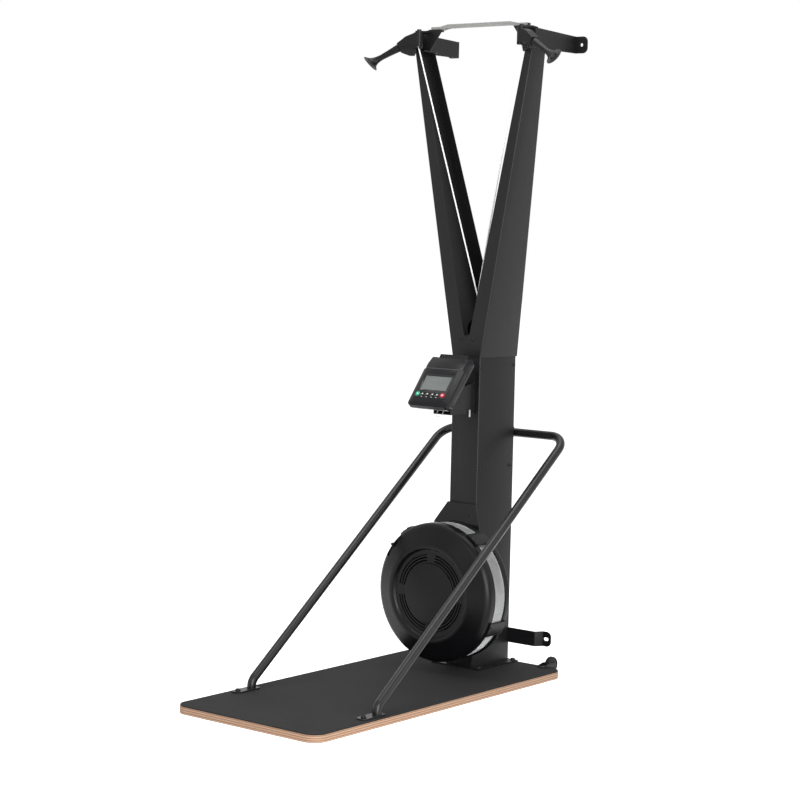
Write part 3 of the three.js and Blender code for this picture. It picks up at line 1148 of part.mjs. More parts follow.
// Long cords: from a head's pulley down the swivel axis, across to the far side of a guide
// wheel, and down to the right hand side of a drum, so that both drums turn the same way
function longCord(side, wheelY) {
  const start = new THREE.Vector2(side * HEAD_X, CORD_BEND_Z);
  const guide = new THREE.Vector2(0, GUIDE_Z);
  const drum = new THREE.Vector2(0, FAN_Z);
  const toStart = start.clone().sub(guide);
  const openAngle = Math.acos(GUIDE_RUN / toStart.length());
  const arrival = toStart.normalize().rotateAround(new THREE.Vector2(), side * openAngle);
  const dip = side > 0 ? Math.asin((GUIDE_RUN + DRUM_RUN) / (GUIDE_Z - FAN_Z)) : 0;
  const departure = new THREE.Vector2(-side * Math.cos(dip), -Math.sin(dip));
  const cornerShare = GUIDE_RUN / (1 + arrival.dot(departure));
  const corner = guide.clone().addScaledVector(arrival.add(departure), cornerShare);
  const drumNormal = side > 0 ? departure.clone().negate() : departure;
  const end = drum.clone().addScaledVector(drumNormal, DRUM_RUN);
  const path = new BentPath([
    new THREE.Vector3(side * HEAD_X, HEAD_Y, HEAD_PULLEY_Z),
    new THREE.Vector3(side * HEAD_X, HEAD_Y, CORD_BEND_Z),
    new THREE.Vector3(corner.x, wheelY, corner.y),
    new THREE.Vector3(end.x, wheelY, end.y),
  ], (i) => (i === 1 ? CORD_BEND_RADIUS : GUIDE_RUN), () => BEND_STEPS);
  return bentBar(path, CORD_RADIUS, CORD_SIDES);
}

// The handle's line in the head's frame, where x points out and z up: it leaves the top of
// the pulley and runs down and out
const pulleyCentre = new THREE.Vector2(HEAD_PULLEY_RUN, HEAD_PULLEY_Z);
const runOff = new THREE.Vector2(
  HEAD_PULLEY_RUN * (1 + sine(HANDLE_ANGLE)),
  HEAD_PULLEY_Z + HEAD_PULLEY_RUN * cosine(HANDLE_ANGLE),
);
const alongHandle = (distance, offset = 0) => [
  runOff.x + distance * cosine(HANDLE_ANGLE) + offset * sine(HANDLE_ANGLE),
  runOff.y - distance * sine(HANDLE_ANGLE) + offset * cosine(HANDLE_ANGLE),
];

// A solid made along +Y from the run-off point, turned onto the handle's line
function ontoHandleLine(solid) {
  return solid.rotate([0, 0, -QUARTER_TURN]).rotate([0, HANDLE_ANGLE, 0]).translate([runOff.x, 0, runOff.y]);
}

// Pulley housing: a slim case with a round back edge and a nose for the handle. It hangs
// from its bolt, and its raised floor has an open slot for the cord that comes up.
function housingSolid() {
  const half = HOUSING_THICKNESS / 2;
  const side = slab([
    [-half, HEAD_SKIRT_Z + HOUSING_BEAK_HEIGHT],
    [HOUSING_BEAK_LENGTH - half, HEAD_SKIRT_Z],
    [HOUSING_SKIRT_LENGTH, HEAD_SKIRT_Z],
    [HOUSING_SKIRT_LENGTH + HOUSING_SLOPE_LENGTH, HEAD_FLOOR_Z],
    [HOUSING_FLOOR_LENGTH, HEAD_FLOOR_Z],
    [HOUSING_CHIN_X, HEAD_FLOOR_Z + HOUSING_CHIN],
    alongHandle(NOSE_DISTANCE, -NOSE_RADIUS),
    alongHandle(NOSE_DISTANCE, NOSE_RADIUS),
    [HOUSING_BROW_X, HEAD_ROOF_Z - HOUSING_BROW_DROP],
    [HOUSING_SHOULDER_X, HEAD_ROOF_Z - HOUSING_SHOULDER_DROP],
    [HOUSING_SHOULDER_X, HEAD_ROOF_Z],
    [-half, HEAD_ROOF_Z],
  ], "y", [-HOUSING_THICKNESS, HOUSING_THICKNESS]);
  const plan = new THREE.Shape();
  const noseX = alongHandle(NOSE_DISTANCE, NOSE_RADIUS)[0];
  plan.moveTo(noseX + OVERRUN, half);
  plan.lineTo(0, half);
  plan.absarc(0, 0, half, Math.PI / 2, (3 * Math.PI) / 2, false);
  plan.lineTo(noseX + OVERRUN, -half);
  const planZ = [HEAD_FLOOR_Z - OVERRUN, HEAD_ROOF_Z + OVERRUN];
  const body = side.intersect(slab(plan, "z", planZ, LARGE_CURVE_STEPS));
  const chamberHalf = HEAD_PULLEY_WIDTH / 2 + PULLEY_SIDE_ROOM;
  const chamberRadius = HEAD_PULLEY_RUN + PULLEY_FLANGE + PULLEY_SIDE_ROOM;
  const centre = [pulleyCentre.x, pulleyCentre.y];
  const chamber = rod("y", chamberRadius, [-chamberHalf, chamberHalf], centre);
  const cordBore = rod("z", CORD_BORE_RADIUS, [HEAD_SKIRT_Z - OVERRUN, HEAD_PULLEY_Z], [0, 0]);
  const cordSlot = block(
    [-HOUSING_SLOT_WIDTH / 2, HOUSING_SLOT_WIDTH / 2],
    [-HOUSING_THICKNESS, HOUSING_THICKNESS],
    [HEAD_SKIRT_Z - OVERRUN, HEAD_SKIRT_Z + HOUSING_SLOT_HEIGHT],
  );
  const outlet = ontoHandleLine(rod("y", CORD_BORE_RADIUS, [0, NOSE_DISTANCE + OVERRUN], [0, 0]));
  const pinReach = (half + chamberHalf) / 2;
  const pin = rod("y", PULLEY_PIN_RADIUS, [-pinReach, pinReach], centre);
  const boltZ = [HEAD_ROOF_Z - PIVOT_BOLT_ENGAGEMENT - GAP, HEAD_ROOF_Z + OVERRUN];
  const boltHole = rod("z", PIVOT_BOLT_RADIUS + GAP, boltZ, [0, 0]);
  return join(cut(body, chamber, cordBore, cordSlot, outlet, boltHole), pin);
}

function pivotBoltSolid() {
  const seat = TONGUE_Z + TONGUE_PLATE + GAP;
  const shank = rod("z", PIVOT_BOLT_RADIUS, [HEAD_ROOF_Z - PIVOT_BOLT_ENGAGEMENT, seat], [0, 0]);
  const headZ = [seat - GAP / 2, seat + PIVOT_BOLT_HEAD_HEIGHT];
  return join(shank, rod("z", PIVOT_BOLT_HEAD_RADIUS, headZ, [0, 0], HEX_SIDES));
}

// Handle: a round grip that narrows from its tip and flares into a bell with a slanted mouth
function handleSolid() {
  const start = NOSE_DISTANCE + GAP;
  const end = start + HANDLE_LENGTH;
  const bellStart = start + HANDLE_LENGTH * HANDLE_GRIP_SHARE;
  const bellEnd = end - HANDLE_RIM;
  const bell = HANDLE_BELL_SHARES.map(([lengthShare, flareShare]) => [
    HANDLE_GRIP_RADIUS + (HANDLE_BELL_RADIUS - HANDLE_GRIP_RADIUS) * flareShare,
    bellStart + (bellEnd - bellStart) * lengthShare,
  ]);
  const profile = [
    [HANDLE_BORE_RADIUS, start],
    [HANDLE_TIP_RADIUS - HANDLE_RIM, start],
    [HANDLE_TIP_RADIUS, start + HANDLE_RIM],
    [(HANDLE_TIP_RADIUS + HANDLE_GRIP_RADIUS) / 2, start + HANDLE_LENGTH * HANDLE_NECK_SHARE],
    ...bell,
    [HANDLE_BELL_RADIUS, end],
    [HANDLE_BELL_RADIUS - HANDLE_RIM, end],
    [KNOT_RADIUS + HANDLE_RIM, end - HANDLE_MOUTH_DEPTH],
    [KNOT_RADIUS + KNOT_ROOM, end - KNOT_DEPTH],
    [HANDLE_BORE_RADIUS, end - KNOT_DEPTH],
  ];
  const straight = turned([...profile, profile[0]], 0, HANDLE_SIDES);
  const lean = Math.tan(radians(HANDLE_MOUTH_TILT));
  const slanted = straight.warp((vertex) => {
    const share = Math.min(Math.max((vertex[1] - bellStart) / (bellEnd - bellStart), 0), 1);
    const inPocket = Math.hypot(vertex[0], vertex[2]) < KNOT_RADIUS + HANDLE_RIM / 2;
    const towards = -vertex[0] * sine(HANDLE_MOUTH_TURN) - vertex[2] * cosine(HANDLE_MOUTH_TURN);
    if (!inPocket) vertex[1] -= lean * towards * share;
  });
  return ontoHandleLine(slanted);
}

// The handle's end of the cord: from the pulley to the knot in the bell
function handleCordSolid() {
  const knotFront = NOSE_DISTANCE + GAP + HANDLE_LENGTH - KNOT_DEPTH + GAP;
  const cord = rod("y", CORD_RADIUS, [0, knotFront + KNOT_RADIUS], [0, 0], CORD_SIDES);
  const ball = new THREE.SphereGeometry(KNOT_RADIUS, ...KNOT_SIDES);
  const knot = solidOf(ball.translate(0, knotFront + KNOT_RADIUS, 0));
  const trimY = [knotFront - KNOT_RADIUS - OVERRUN, knotFront];
  const trim = rod("y", KNOT_RADIUS + OVERRUN, trimY, [0, 0], CORD_SIDES);
  return ontoHandleLine(join(cord, cut(knot, trim)));
}

// One head with its swivelling pieces, turned about the pivot
function addHead(name, side) {
  const head = new THREE.Group();
  head.position.set(side * HEAD_X, HEAD_Y, 0);
  head.rotation.z = side > 0 ? radians(-HEAD_REST_TURN) : radians(HALF_TURN + HEAD_REST_TURN);
  trainer.add(head);
  place(`${name}_pulley_housing`, housingSolid(), BLACK_PLASTIC, head);
  const pulley = groovedWheel({
    bore: PULLEY_PIN_RADIUS + GAP,
    run: HEAD_PULLEY_RUN,
    flange: PULLEY_FLANGE,
    width: HEAD_PULLEY_WIDTH,
  }, 0, HEAD_PULLEY_Z, HEAD_PULLEY_SIDES);
  place(`${name}_head_pulley`, pulley.translate([pulleyCentre.x, 0, 0]), BRIGHT_STEEL, head);
  place(`${name}_handle`, handleSolid(), BLACK_PLASTIC, head);
  place(`${name}_handle_cord`, handleCordSolid(), WHITE_CORD, head);
  place(`${name}_pivot_bolt`, pivotBoltSolid(), BLACK_STEEL, head);
}

// The corners of one outline of the console's case
function caseLine({ half, below, above, radius, depth }) {
  const outline = roundedRectangle([-half, half], [-below, above], alike(radius));
  return outline.getPoints(CURVE_STEPS).map(({ x, y }) => [x, depth, y]);
}

// Console case: a skin over four outlines, with a narrower hood that leans back from the
// panel, a ledge for a telephone along its top and a lug for the hinge on its back
function caseSolid() {
  const lines = [CONSOLE_FRONT, CONSOLE_CREASE, CONSOLE_RIM, CONSOLE_BACK];
  const skin = wasm.Manifold.hull(lines.flatMap(caseLine));
  const widest = CONSOLE_RIM.half + OVERRUN;
  const hoodFront = slab([
    [-OVERRUN, CONSOLE_PANEL_ABOVE],
    [0, CONSOLE_PANEL_ABOVE],
    [CONSOLE_HOOD_SETBACK, CONSOLE_HOOD_TOP],
    [CONSOLE_HOOD_SETBACK, LEDGE_TOP],
    [-OVERRUN, LEDGE_TOP],
  ], "x", [-widest, widest]);
  const caseY = [-OVERRUN, CONSOLE_THICKNESS + OVERRUN];
  const hoodZ = [CONSOLE_PANEL_ABOVE, LEDGE_TOP];
  const sides = [[-widest, -CONSOLE_HOOD_HALF], [CONSOLE_HOOD_HALF, widest]];
  const hoodSides = sides.map((xRange) => block(xRange, caseY, hoodZ));
  const ledgeX = [-LEDGE_HALF_WIDTH, LEDGE_HALF_WIDTH];
  const ledgeFront = CONSOLE_HOOD_SETBACK + LEDGE_GROOVE_WIDTH;
  const ledgeY = [ledgeFront, ledgeFront + LEDGE_THICKNESS];
  const grooveZ = [CONSOLE_RIM.above - LEDGE_GROOVE_DEPTH, LEDGE_TOP];
  const ledge = block(ledgeX, ledgeY, [grooveZ[0], LEDGE_TOP]);
  const ledgeGroove = block(ledgeX, [CONSOLE_HOOD_SETBACK, ledgeFront], grooveZ);
  const screen = block(
    [-SCREEN_WIDTH / 2 - GAP, SCREEN_WIDTH / 2 + GAP],
    [-OVERRUN, SCREEN_INSET + SCREEN_THICKNESS + GAP],
    [-SCREEN_HEIGHT / 2 - GAP, SCREEN_HEIGHT / 2 + GAP],
  );
  const pocketY = [-OVERRUN, BUTTON_DEPTH + BUTTON_TRAVEL + GAP];
  const pockets = buttonPlaces().map((x, i) =>
    rod("y", buttonRadius(i) + GAP, pocketY, [x, BUTTON_ROW_Z], BUTTON_SIDES));
  const lug = new THREE.Shape();
  lug.moveTo(CONSOLE_THICKNESS - OVERRUN, -LUG_ROOT_HALF);
  lug.lineTo(CONSOLE_THICKNESS, -LUG_ROOT_HALF);
  lug.absarc(CONSOLE_THICKNESS + LUG_REACH, 0, LUG_RADIUS, -Math.PI / 2, Math.PI / 2, false);
  lug.lineTo(CONSOLE_THICKNESS, LUG_ROOT_HALF);
  lug.lineTo(CONSOLE_THICKNESS - OVERRUN, LUG_ROOT_HALF);
  const lugBody = slab(lug, "x", [-LUG_HALF_WIDTH, LUG_HALF_WIDTH]);
  const pinX = [-LUG_HALF_WIDTH - OVERRUN, LUG_HALF_WIDTH + OVERRUN];
  const pinHole = rod("x", CONSOLE_PIN_RADIUS + GAP, pinX, [CONSOLE_THICKNESS + LUG_REACH, 0]);
  const shell = cut(skin, hoodFront, ...hoodSides);
  return cut(join(shell, ledge, lugBody), ledgeGroove, screen, pinHole, ...pockets);
}

function buttonPlaces() {
  return Array.from({ length: BUTTON_COUNT }, (unused, i) => BUTTON_FIRST_X + i * BUTTON_PITCH);
}

const buttonRadius = (i) => (i === 0 || i === BUTTON_COUNT - 1 ? END_BUTTON_RADIUS : BUTTON_RADIUS);

const consolePinY = CONSOLE_Y + (CONSOLE_THICKNESS + LUG_REACH) * cosine(CONSOLE_TILT);
const consolePinZ = CONSOLE_Z - (CONSOLE_THICKNESS + LUG_REACH) * sine(CONSOLE_TILT);

// Console arm: a base plate on the column's face, and a floor and two cheeks with the hinge pin
function consoleArmSolid() {
  const backY = COLUMN_FRONT - GAP;
  const baseZ = [consolePinZ - ARM_BASE_HALF_HEIGHT, consolePinZ + ARM_BASE_HALF_HEIGHT];
  const base = block([-ARM_BASE_HALF_WIDTH, ARM_BASE_HALF_WIDTH], [backY - ARM_PLATE, backY], baseZ);
  const floorZ = consolePinZ - ARM_FLOOR_DROP;
  const cheek = new THREE.Shape();
  cheek.moveTo(backY, floorZ);
  cheek.lineTo(backY, consolePinZ + ARM_ROOT_RISE);
  cheek.lineTo(consolePinY, consolePinZ + ARM_RADIUS);
  cheek.absarc(consolePinY, consolePinZ, ARM_RADIUS, Math.PI / 2, Math.PI, false);
  cheek.lineTo(consolePinY - ARM_RADIUS, floorZ);
  const cheeks = [-1, 1].map((side) => {
    const inner = LUG_HALF_WIDTH + GAP;
    const edges = [side * inner, side * (inner + ARM_PLATE)].sort((a, b) => a - b);
    return slab(cheek, "x", edges);
  });
  const outer = LUG_HALF_WIDTH + GAP + ARM_PLATE;
  const floorY = [consolePinY - ARM_RADIUS, backY];
  const floor = block([-outer, outer], floorY, [floorZ, floorZ + ARM_PLATE]);
  const reach = outer + ARM_PLATE;
  const pin = rod("x", CONSOLE_PIN_RADIUS, [-reach, reach], [consolePinY, consolePinZ]);
  return join(base, ...cheeks, floor, pin);
}

function addConsole() {
  const console = new THREE.Group();
  console.position.set(0, CONSOLE_Y, CONSOLE_Z);
  console.rotation.x = radians(-CONSOLE_TILT);
  trainer.add(console);
  place("console_case", caseSolid(), GLOSS_PLASTIC, console);
  const screen = block(
    [-SCREEN_WIDTH / 2, SCREEN_WIDTH / 2],
    [SCREEN_INSET, SCREEN_INSET + SCREEN_THICKNESS],
    [-SCREEN_HEIGHT / 2, SCREEN_HEIGHT / 2],
  );
  place("console_screen", screen, SCREEN_GLASS, console);
  buttonPlaces().forEach((x, i) => {
    const button = rod("y", buttonRadius(i), [-BUTTON_PROUD, BUTTON_DEPTH], [x, BUTTON_ROW_Z], BUTTON_SIDES);
    place(`console_button_${i + 1}`, button, finish(BUTTON_COLOURS[i], BUTTON_ROUGHNESS, 0), console);
  });
  place("console_arm", consoleArmSolid(), BLACK_STEEL);
}

// Transport roller and its fork, for the right side
function rollerSolid() {
  const half = ROLLER_WIDTH / 2;
  const round = ROLLER_TREAD_ROUND;
  const profile = [
    [FORK_PIN_RADIUS + GAP, -half],
    [ROLLER_RADIUS - round, -half],
    [ROLLER_RADIUS, -half + round],
    [ROLLER_RADIUS, half - round],
    [ROLLER_RADIUS - round, half],
    [FORK_PIN_RADIUS + GAP, half],
  ];
  const roller = turned([...profile, profile[0]], 0, ROLLER_SIDES);
  return roller.rotate([0, 0, QUARTER_TURN]).translate([ROLLER_X, ROLLER_Y, ROLLER_Z]);
}

function forkSolid() {
  const edgeY = PLATFORM_LENGTH / 2;
  const inner = ROLLER_WIDTH / 2 + FORK_ROOM;
  const outer = inner + FORK_PLATE;
  const shoeY = edgeY - FORK_SHOE_LENGTH;
  const shoe = block([ROLLER_X - outer, ROLLER_X + outer], [shoeY, edgeY], [FLOOR_TOP, FLOOR_TOP + FORK_PLATE]);
  const ear = new THREE.Shape();
  ear.moveTo(shoeY + FORK_PLATE, FLOOR_TOP);
  ear.lineTo(edgeY + FORK_PLATE, FLOOR_TOP);
  ear.lineTo(ROLLER_Y, ROLLER_Z - FORK_TIP_RADIUS);
  ear.absarc(ROLLER_Y, ROLLER_Z, FORK_TIP_RADIUS, -Math.PI / 2, Math.PI / 2, false);
  ear.lineTo(edgeY, FLOOR_TOP + FORK_EAR_RISE);
  ear.lineTo(shoeY + FORK_PLATE, FLOOR_TOP + FORK_EAR_HEEL);
  const ears = [[-outer, -inner], [inner, outer]].map(([from, to]) =>
    slab(ear, "x", [ROLLER_X + from, ROLLER_X + to]));
  const pin = rod("x", FORK_PIN_RADIUS, [ROLLER_X - outer, ROLLER_X + outer], [ROLLER_Y, ROLLER_Z]);
  return join(shoe, ...ears, pin);
}

function addPlatform() {
  place("platform_board", platformSheet(0, [0, BOARD_THICKNESS]), PLYWOOD);
  place("platform_mat", platformSheet(MAT_INSET, [BOARD_THICKNESS, FLOOR_TOP]), MAT_RUBBER);
  place("right_roller_fork", forkSolid(), BLACK_STEEL);
  mirrored(place("left_roller_fork", forkSolid(), BLACK_STEEL));
  place("right_roller", rollerSolid(), ROLLER_RUBBER);
  mirrored(place("left_roller", rollerSolid(), ROLLER_RUBBER));
}

function addFrame() {
  place("lower_column", columnSolid(), BLACK_STEEL);
  place("v_mast", mastSolid(), BLACK_STEEL);
  place("right_head_bracket", headBracketSolid(), BLACK_STEEL);
  mirrored(place("left_head_bracket", headBracketSolid(), BLACK_STEEL));
  place("top_crossbar", crossbarSolid(), SILVER_STEEL);
  place("right_wall_bracket", wallBracketSolid(), BLACK_STEEL);
  mirrored(place("left_wall_bracket", wallBracketSolid(), BLACK_STEEL));
  place("lower_wall_bar", lowerWallBarSolid(), BLACK_STEEL);
  place("brace_tube", braceSolid(), BLACK_TUBE);
  place("right_brace_shoe", braceShoeSolid(), BLACK_TUBE);
  mirrored(place("left_brace_shoe", braceShoeSolid(), BLACK_TUBE));
  place("brace_clamp", braceClampSolid(), BLACK_STEEL);
}

function addFan() {
  place("fan_bracket", fanBracketSolid(), BLACK_STEEL);
  place("fan_rear_pan", panSolid(), BLACK_PLASTIC);
  place("fan_mesh_band", bandSolid(), MESH_STEEL);
  place("fan_front_cover", coverSolid(), BLACK_PLASTIC);
  place("damper_ring", damperSolid(), BLACK_PLASTIC);
  CLIP_ANGLES.forEach((angle, i) => place(`fan_clip_${i + 1}`, clipSolid(angle), BLACK_PLASTIC));
  place("fan_wheel", fanWheelSolid(), BLACK_PLASTIC);
  place("fan_axle", axleSolid(), BRIGHT_STEEL);
  place("front_axle_bearing", frontBearingSolid(), BRIGHT_STEEL);
  place("rear_axle_bearing", rearBearingSolid(), BRIGHT_STEEL);
}

function addDrive() {
  const drumSizes = { bore: AXLE_RADIUS + GAP, run: DRUM_RUN, flange: DRUM_FLANGE, width: DRUM_WIDTH };
  const pinBore = GUIDE_PIN_RADIUS + GAP;
  const guideSizes = { bore: pinBore, run: GUIDE_RUN, flange: PULLEY_FLANGE, width: GUIDE_WIDTH };
  const drum = (y) => groovedWheel(drumSizes, y, FAN_Z, ROUND_SIDES);
  const guide = (y) => groovedWheel(guideSizes, y, GUIDE_Z, ROUND_SIDES);
  place("left_cord_drum", drum(GUIDE_FRONT_Y), BLACK_PLASTIC);
  place("right_cord_drum", drum(GUIDE_BACK_Y), BLACK_PLASTIC);
  const frontSpring = GUIDE_FRONT_Y - DRUM_WIDTH / 2 - RECOIL_ROOM;
  const backSpring = GUIDE_BACK_Y + DRUM_WIDTH / 2 + RECOIL_ROOM;
  place("left_recoil_spring", recoilSolid([frontSpring - RECOIL_WIDTH, frontSpring], -1), BRIGHT_STEEL);
  place("right_recoil_spring", recoilSolid([backSpring, backSpring + RECOIL_WIDTH], -1), BRIGHT_STEEL);
  place("guide_bracket", guideBracketSolid(), BLACK_STEEL);
  place("guide_pin", guidePinSolid(), BRIGHT_STEEL);
  place("left_guide_pulley", guide(GUIDE_FRONT_Y), BLACK_PLASTIC);
  place("right_guide_pulley", guide(GUIDE_BACK_Y), BLACK_PLASTIC);
  place("left_cord", longCord(-1, GUIDE_FRONT_Y), WHITE_CORD);
  place("right_cord", longCord(1, GUIDE_BACK_Y), WHITE_CORD);
}

addPlatform();
addFrame();
addFan();
addDrive();
addHead("left", -1);
addHead("right", 1);
addConsole();

export default trainer;
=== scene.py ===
import json
from math import acos, asin, atan2, copysign, cos, hypot, pi, radians, sin, tan, tau

import bmesh
import bpy
from mathutils import Matrix, Vector

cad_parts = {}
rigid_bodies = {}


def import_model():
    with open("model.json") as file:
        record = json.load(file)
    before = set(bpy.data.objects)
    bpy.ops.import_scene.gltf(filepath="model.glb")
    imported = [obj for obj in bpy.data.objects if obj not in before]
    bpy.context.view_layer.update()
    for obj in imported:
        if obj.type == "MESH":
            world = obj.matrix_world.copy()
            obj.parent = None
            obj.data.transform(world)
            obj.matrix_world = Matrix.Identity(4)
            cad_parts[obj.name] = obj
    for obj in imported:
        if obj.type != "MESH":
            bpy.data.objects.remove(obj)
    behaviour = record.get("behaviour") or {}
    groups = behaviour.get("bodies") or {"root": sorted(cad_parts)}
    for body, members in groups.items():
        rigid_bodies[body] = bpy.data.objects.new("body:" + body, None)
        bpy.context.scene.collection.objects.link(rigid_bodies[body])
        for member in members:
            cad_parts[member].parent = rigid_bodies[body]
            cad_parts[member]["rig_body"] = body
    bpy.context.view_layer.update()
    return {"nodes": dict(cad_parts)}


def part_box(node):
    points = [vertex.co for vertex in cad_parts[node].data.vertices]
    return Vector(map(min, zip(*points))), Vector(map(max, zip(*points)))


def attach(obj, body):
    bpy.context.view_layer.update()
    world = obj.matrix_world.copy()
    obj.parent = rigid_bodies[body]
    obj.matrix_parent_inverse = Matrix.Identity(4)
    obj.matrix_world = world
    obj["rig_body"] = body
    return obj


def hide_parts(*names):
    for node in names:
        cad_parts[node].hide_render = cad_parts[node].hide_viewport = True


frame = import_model()
nodes = frame["nodes"]

# Camera of the photograph
CAMERA_PLACE = (4.3052, -5.2953, 1.5542)
CAMERA_AZIMUTH = 38.674  # degrees to the right of the machine's front
CAMERA_PITCH = 4.777  # degrees below level
CAMERA_ROLL = 1.329  # degrees, the picture turned clockwise
CAMERA_LENS = 93.68  # millimetres
CAMERA_SENSOR = 36  # millimetres
CAMERA_REACH = 100

# Gap between pieces, and sizes of the fan
GAP = 0.0003
FAN_HEIGHT = 0.305
COVER_FRONT_Y = 0.263
COVER_RADIUS = 0.240
COVER_DISC_RADIUS = 0.104
COVER_DISC_RISE = 0.009
COVER_RIDGE_RADIUS = 0.163
COVER_RIDGE_HALF = 0.007
COVER_SHOULDER_RADIUS = 0.227
COVER_SHOULDER_DROP = 0.021
COVER_EDGE_DROP = 0.038
COVER_WALL = 0.0035
COVER_DEPTH = 0.060
SLOT_FIRST_RADIUS = 0.111
SLOT_WIDTH = 0.005
SLOT_MARGIN = 0.004
SLOT_PITCH = 0.010
SLOT_ROWS = 3
SLOT_SECTORS = 4
SLOT_BRIDGE = 16
SLOT_TURN = 45
COVER_EYE_RADIUS = 0.001
COVER_FILLET = 0.012
COVER_DISC_FILLET = 0.003
COVER_SIDE_TAPER = 0.003
FACET_ROOM = 0.00002  # keeps the finer rounds inside those of the solids
NOTCH_DEPTH = 0.021
NOTCH_RIM = 0.004
CLIP_ANGLES = (54, 126, 205, 335)
CLIP_BOLT_INSET = 0.006
CLIP_BOLT_OFFSET = 0.011
CLIP_BOLT_SIZE = (0.0042, 0.0022)  # radius and height
NOTCH_FLOOR_DROP = 0.033
NOTCH_FLOOR = 0.002
NOTCH_STEPS = 24
NOTCH_ANGLE = 140
NOTCH_HALF = 12.3
BAND_RADIUS = 0.235
BAND_WIDTH = 0.058
BAND_SINK = 0.0008
BAND_COLUMNS = 260
BAND_ROWS = 11
BAND_WIRE = 0.0022
PAN_DEPTH = 0.030
PAN_RIM = 0.008
PAN_BORE_RADIUS = 0.034
PAN_FILLET = 0.003

# Brace, platform and rollers
BRACE_RADIUS = 0.015
BRACE_HALF_SPAN = 0.2664
BRACE_FOOT_Y = -0.329
BRACE_FOOT_BEND_Z = 0.0548
BRACE_TOP_Y = 0.6827
BRACE_TOP_Z = 0.8366
BRACE_FOOT_BEND_RADIUS = 0.038
BRACE_ELBOW_RADIUS = 0.066
BOARD_CORNER = 0.050
BOARD_EDGE = 0.0015
MAT_CORNER = 0.049
MAT_EDGE = 0.0012
SHEET_CORNER_STEPS = 16
SHEET_EDGE_SEGMENTS = 3
ROLLER_BORE_RADIUS = 0.0043
ROLLER_HUB_SHARE = 0.45
ROLLER_HUB_SLOPE = 0.002
ROLLER_SINK = 0.003
ROLLER_RIM = 0.006
ROLLER_CHAMFER = 0.005
ROLLER_FILLET = 0.0018

# Heads, handles and cords
SIDES = (("left", -1), ("right", 1))
HEAD_X = 0.217
HEAD_Y = 0.414
HEAD_REST_TURN = 17.6
HANDLE_ANGLE = 26.7
HEAD_PULLEY_RUN = 0.013
HEAD_PULLEY_Z = 2.1867
HEAD_PULLEY_FLANGE = 0.004
HEAD_PULLEY_WIDTH = 0.013
PULLEY_PIN_RADIUS = 0.004
TONGUE_Z = 2.230
TONGUE_PLATE = 0.005
TONGUE_LOWERING = 0.007
BRACKET_EDGE_Z = 2.2325  # over this the bracket's top edge is pulled down, and the bar shows
BRACKET_TOP_SHARE = 0.2
GUSSET_FRONT_Y = 0.4595
HEAD_SKIRT_Z = 2.1653
HEAD_ROOF_Z = 2.2297
ROOF_SHARE = 0.2  # of the roof's rise over the shoulder
KEEL_SHARE = 0.2  # of the housing's thickness at the keel's rear
HOUSING_SKIRT_LENGTH = 0.008
HOUSING_CHIN_X = 0.060
HOUSING_SHOULDER_DROP = 0.009
HOUSING_SLOT_HEIGHT = 0.010
HOUSING_VOXEL = 0.0014
HOUSING_ROUNDS = 9
NOSE_DISTANCE = 0.0591
HANDLE_LENGTH = 0.123
HANDLE_START = NOSE_DISTANCE + GAP
HANDLE_END = HANDLE_START + HANDLE_LENGTH
HANDLE_TIP_RADIUS = 0.014
HANDLE_GRIP_RADIUS = 0.009
HANDLE_BELL_RADIUS = 0.030
HANDLE_RIM = 0.003
HANDLE_GRIP_SHARE = 0.62
HANDLE_NECK_SHARE = 0.25
HANDLE_BELL_SHARES = ((0, 0.02), (0.45, 0.14), (0.78, 0.42), (1, 1))
HANDLE_MOUTH_TILT = radians(29)
HANDLE_MOUTH_TURN = radians(47)
HANDLE_MOUTH_DEPTH = 0.006
HANDLE_BORE_RADIUS = 0.0032
HANDLE_FILLET = 0.016
KNOT_RADIUS = 0.007
KNOT_ROOM = 0.0006
KNOT_DEPTH = 0.024
PLUG_SINK = 0.0086
PLUG_RADIUS = 0.0092
PLUG_HEIGHT = 0.0024
KNOT_BALL_RADIUS = 0.0066
KNOT_RELIEF_SHARE = 0.06
KNOT_STRANDS = 9
KNOT_TWIST = 700

CORD_RADIUS = 0.0025
CORD_BEND_RADIUS = 0.010
CORD_POINTS = 12
GROOVE_STEPS = 8
WHEEL_STEPS = 64
GUIDE_RUN = 0.034
GUIDE_Z = 1.205
GUIDE_Y = {"left": 0.503, "right": 0.519}
CORD_BEND_Z = HEAD_SKIRT_Z + CORD_RADIUS

# Console
CONSOLE_Y = 0.2770
CONSOLE_Z = 1.0259
CONSOLE_TILT = 38
SCREEN_WIDTH = 0.110
SCREEN_HEIGHT = 0.057
SCREEN_FACE = 0.0007
BUTTON_FIRST_X = -0.055
BUTTON_PITCH = 0.021
BUTTON_ROW_Z = -0.047
BUTTON_RADIUS = 0.006
END_BUTTON_RADIUS = 0.008
BUTTON_PROUD = 0.002
BUTTON_DEPTH = 0.004
BUTTON_COUNT = 6
BUTTON_CLEARANCE = 0.0003
BUTTON_INSET = 0.0001
BUTTON_CROWN = 0.0002
BUTTON_CROWN_SHARE = 0.7
BUTTON_SHOULDER = 0.001
BUTTON_FILLET = 0.0012
MARK_SIZE = 0.0062
MARK_PROUD = 0.0002
MARK_SINK = 0.0003
MARK_SHARES = (  # start, up, down, left, right and stop
    [(-0.3, -0.5), (0.6, 0), (-0.3, 0.5)],
    [(-0.5, -0.35), (0.5, -0.35), (0, 0.5)],
    [(-0.5, 0.35), (0, -0.5), (0.5, 0.35)],
    [(0.35, -0.5), (0.35, 0.5), (-0.5, 0)],
    [(-0.35, -0.5), (0.5, 0), (-0.35, 0.5)],
    [(-0.4, -0.4), (0.4, -0.4), (0.4, 0.4), (-0.4, 0.4)],
)
DIGIT_COUNT = 5
DIGIT_FIRST_X = -0.040
DIGIT_PITCH = 0.017
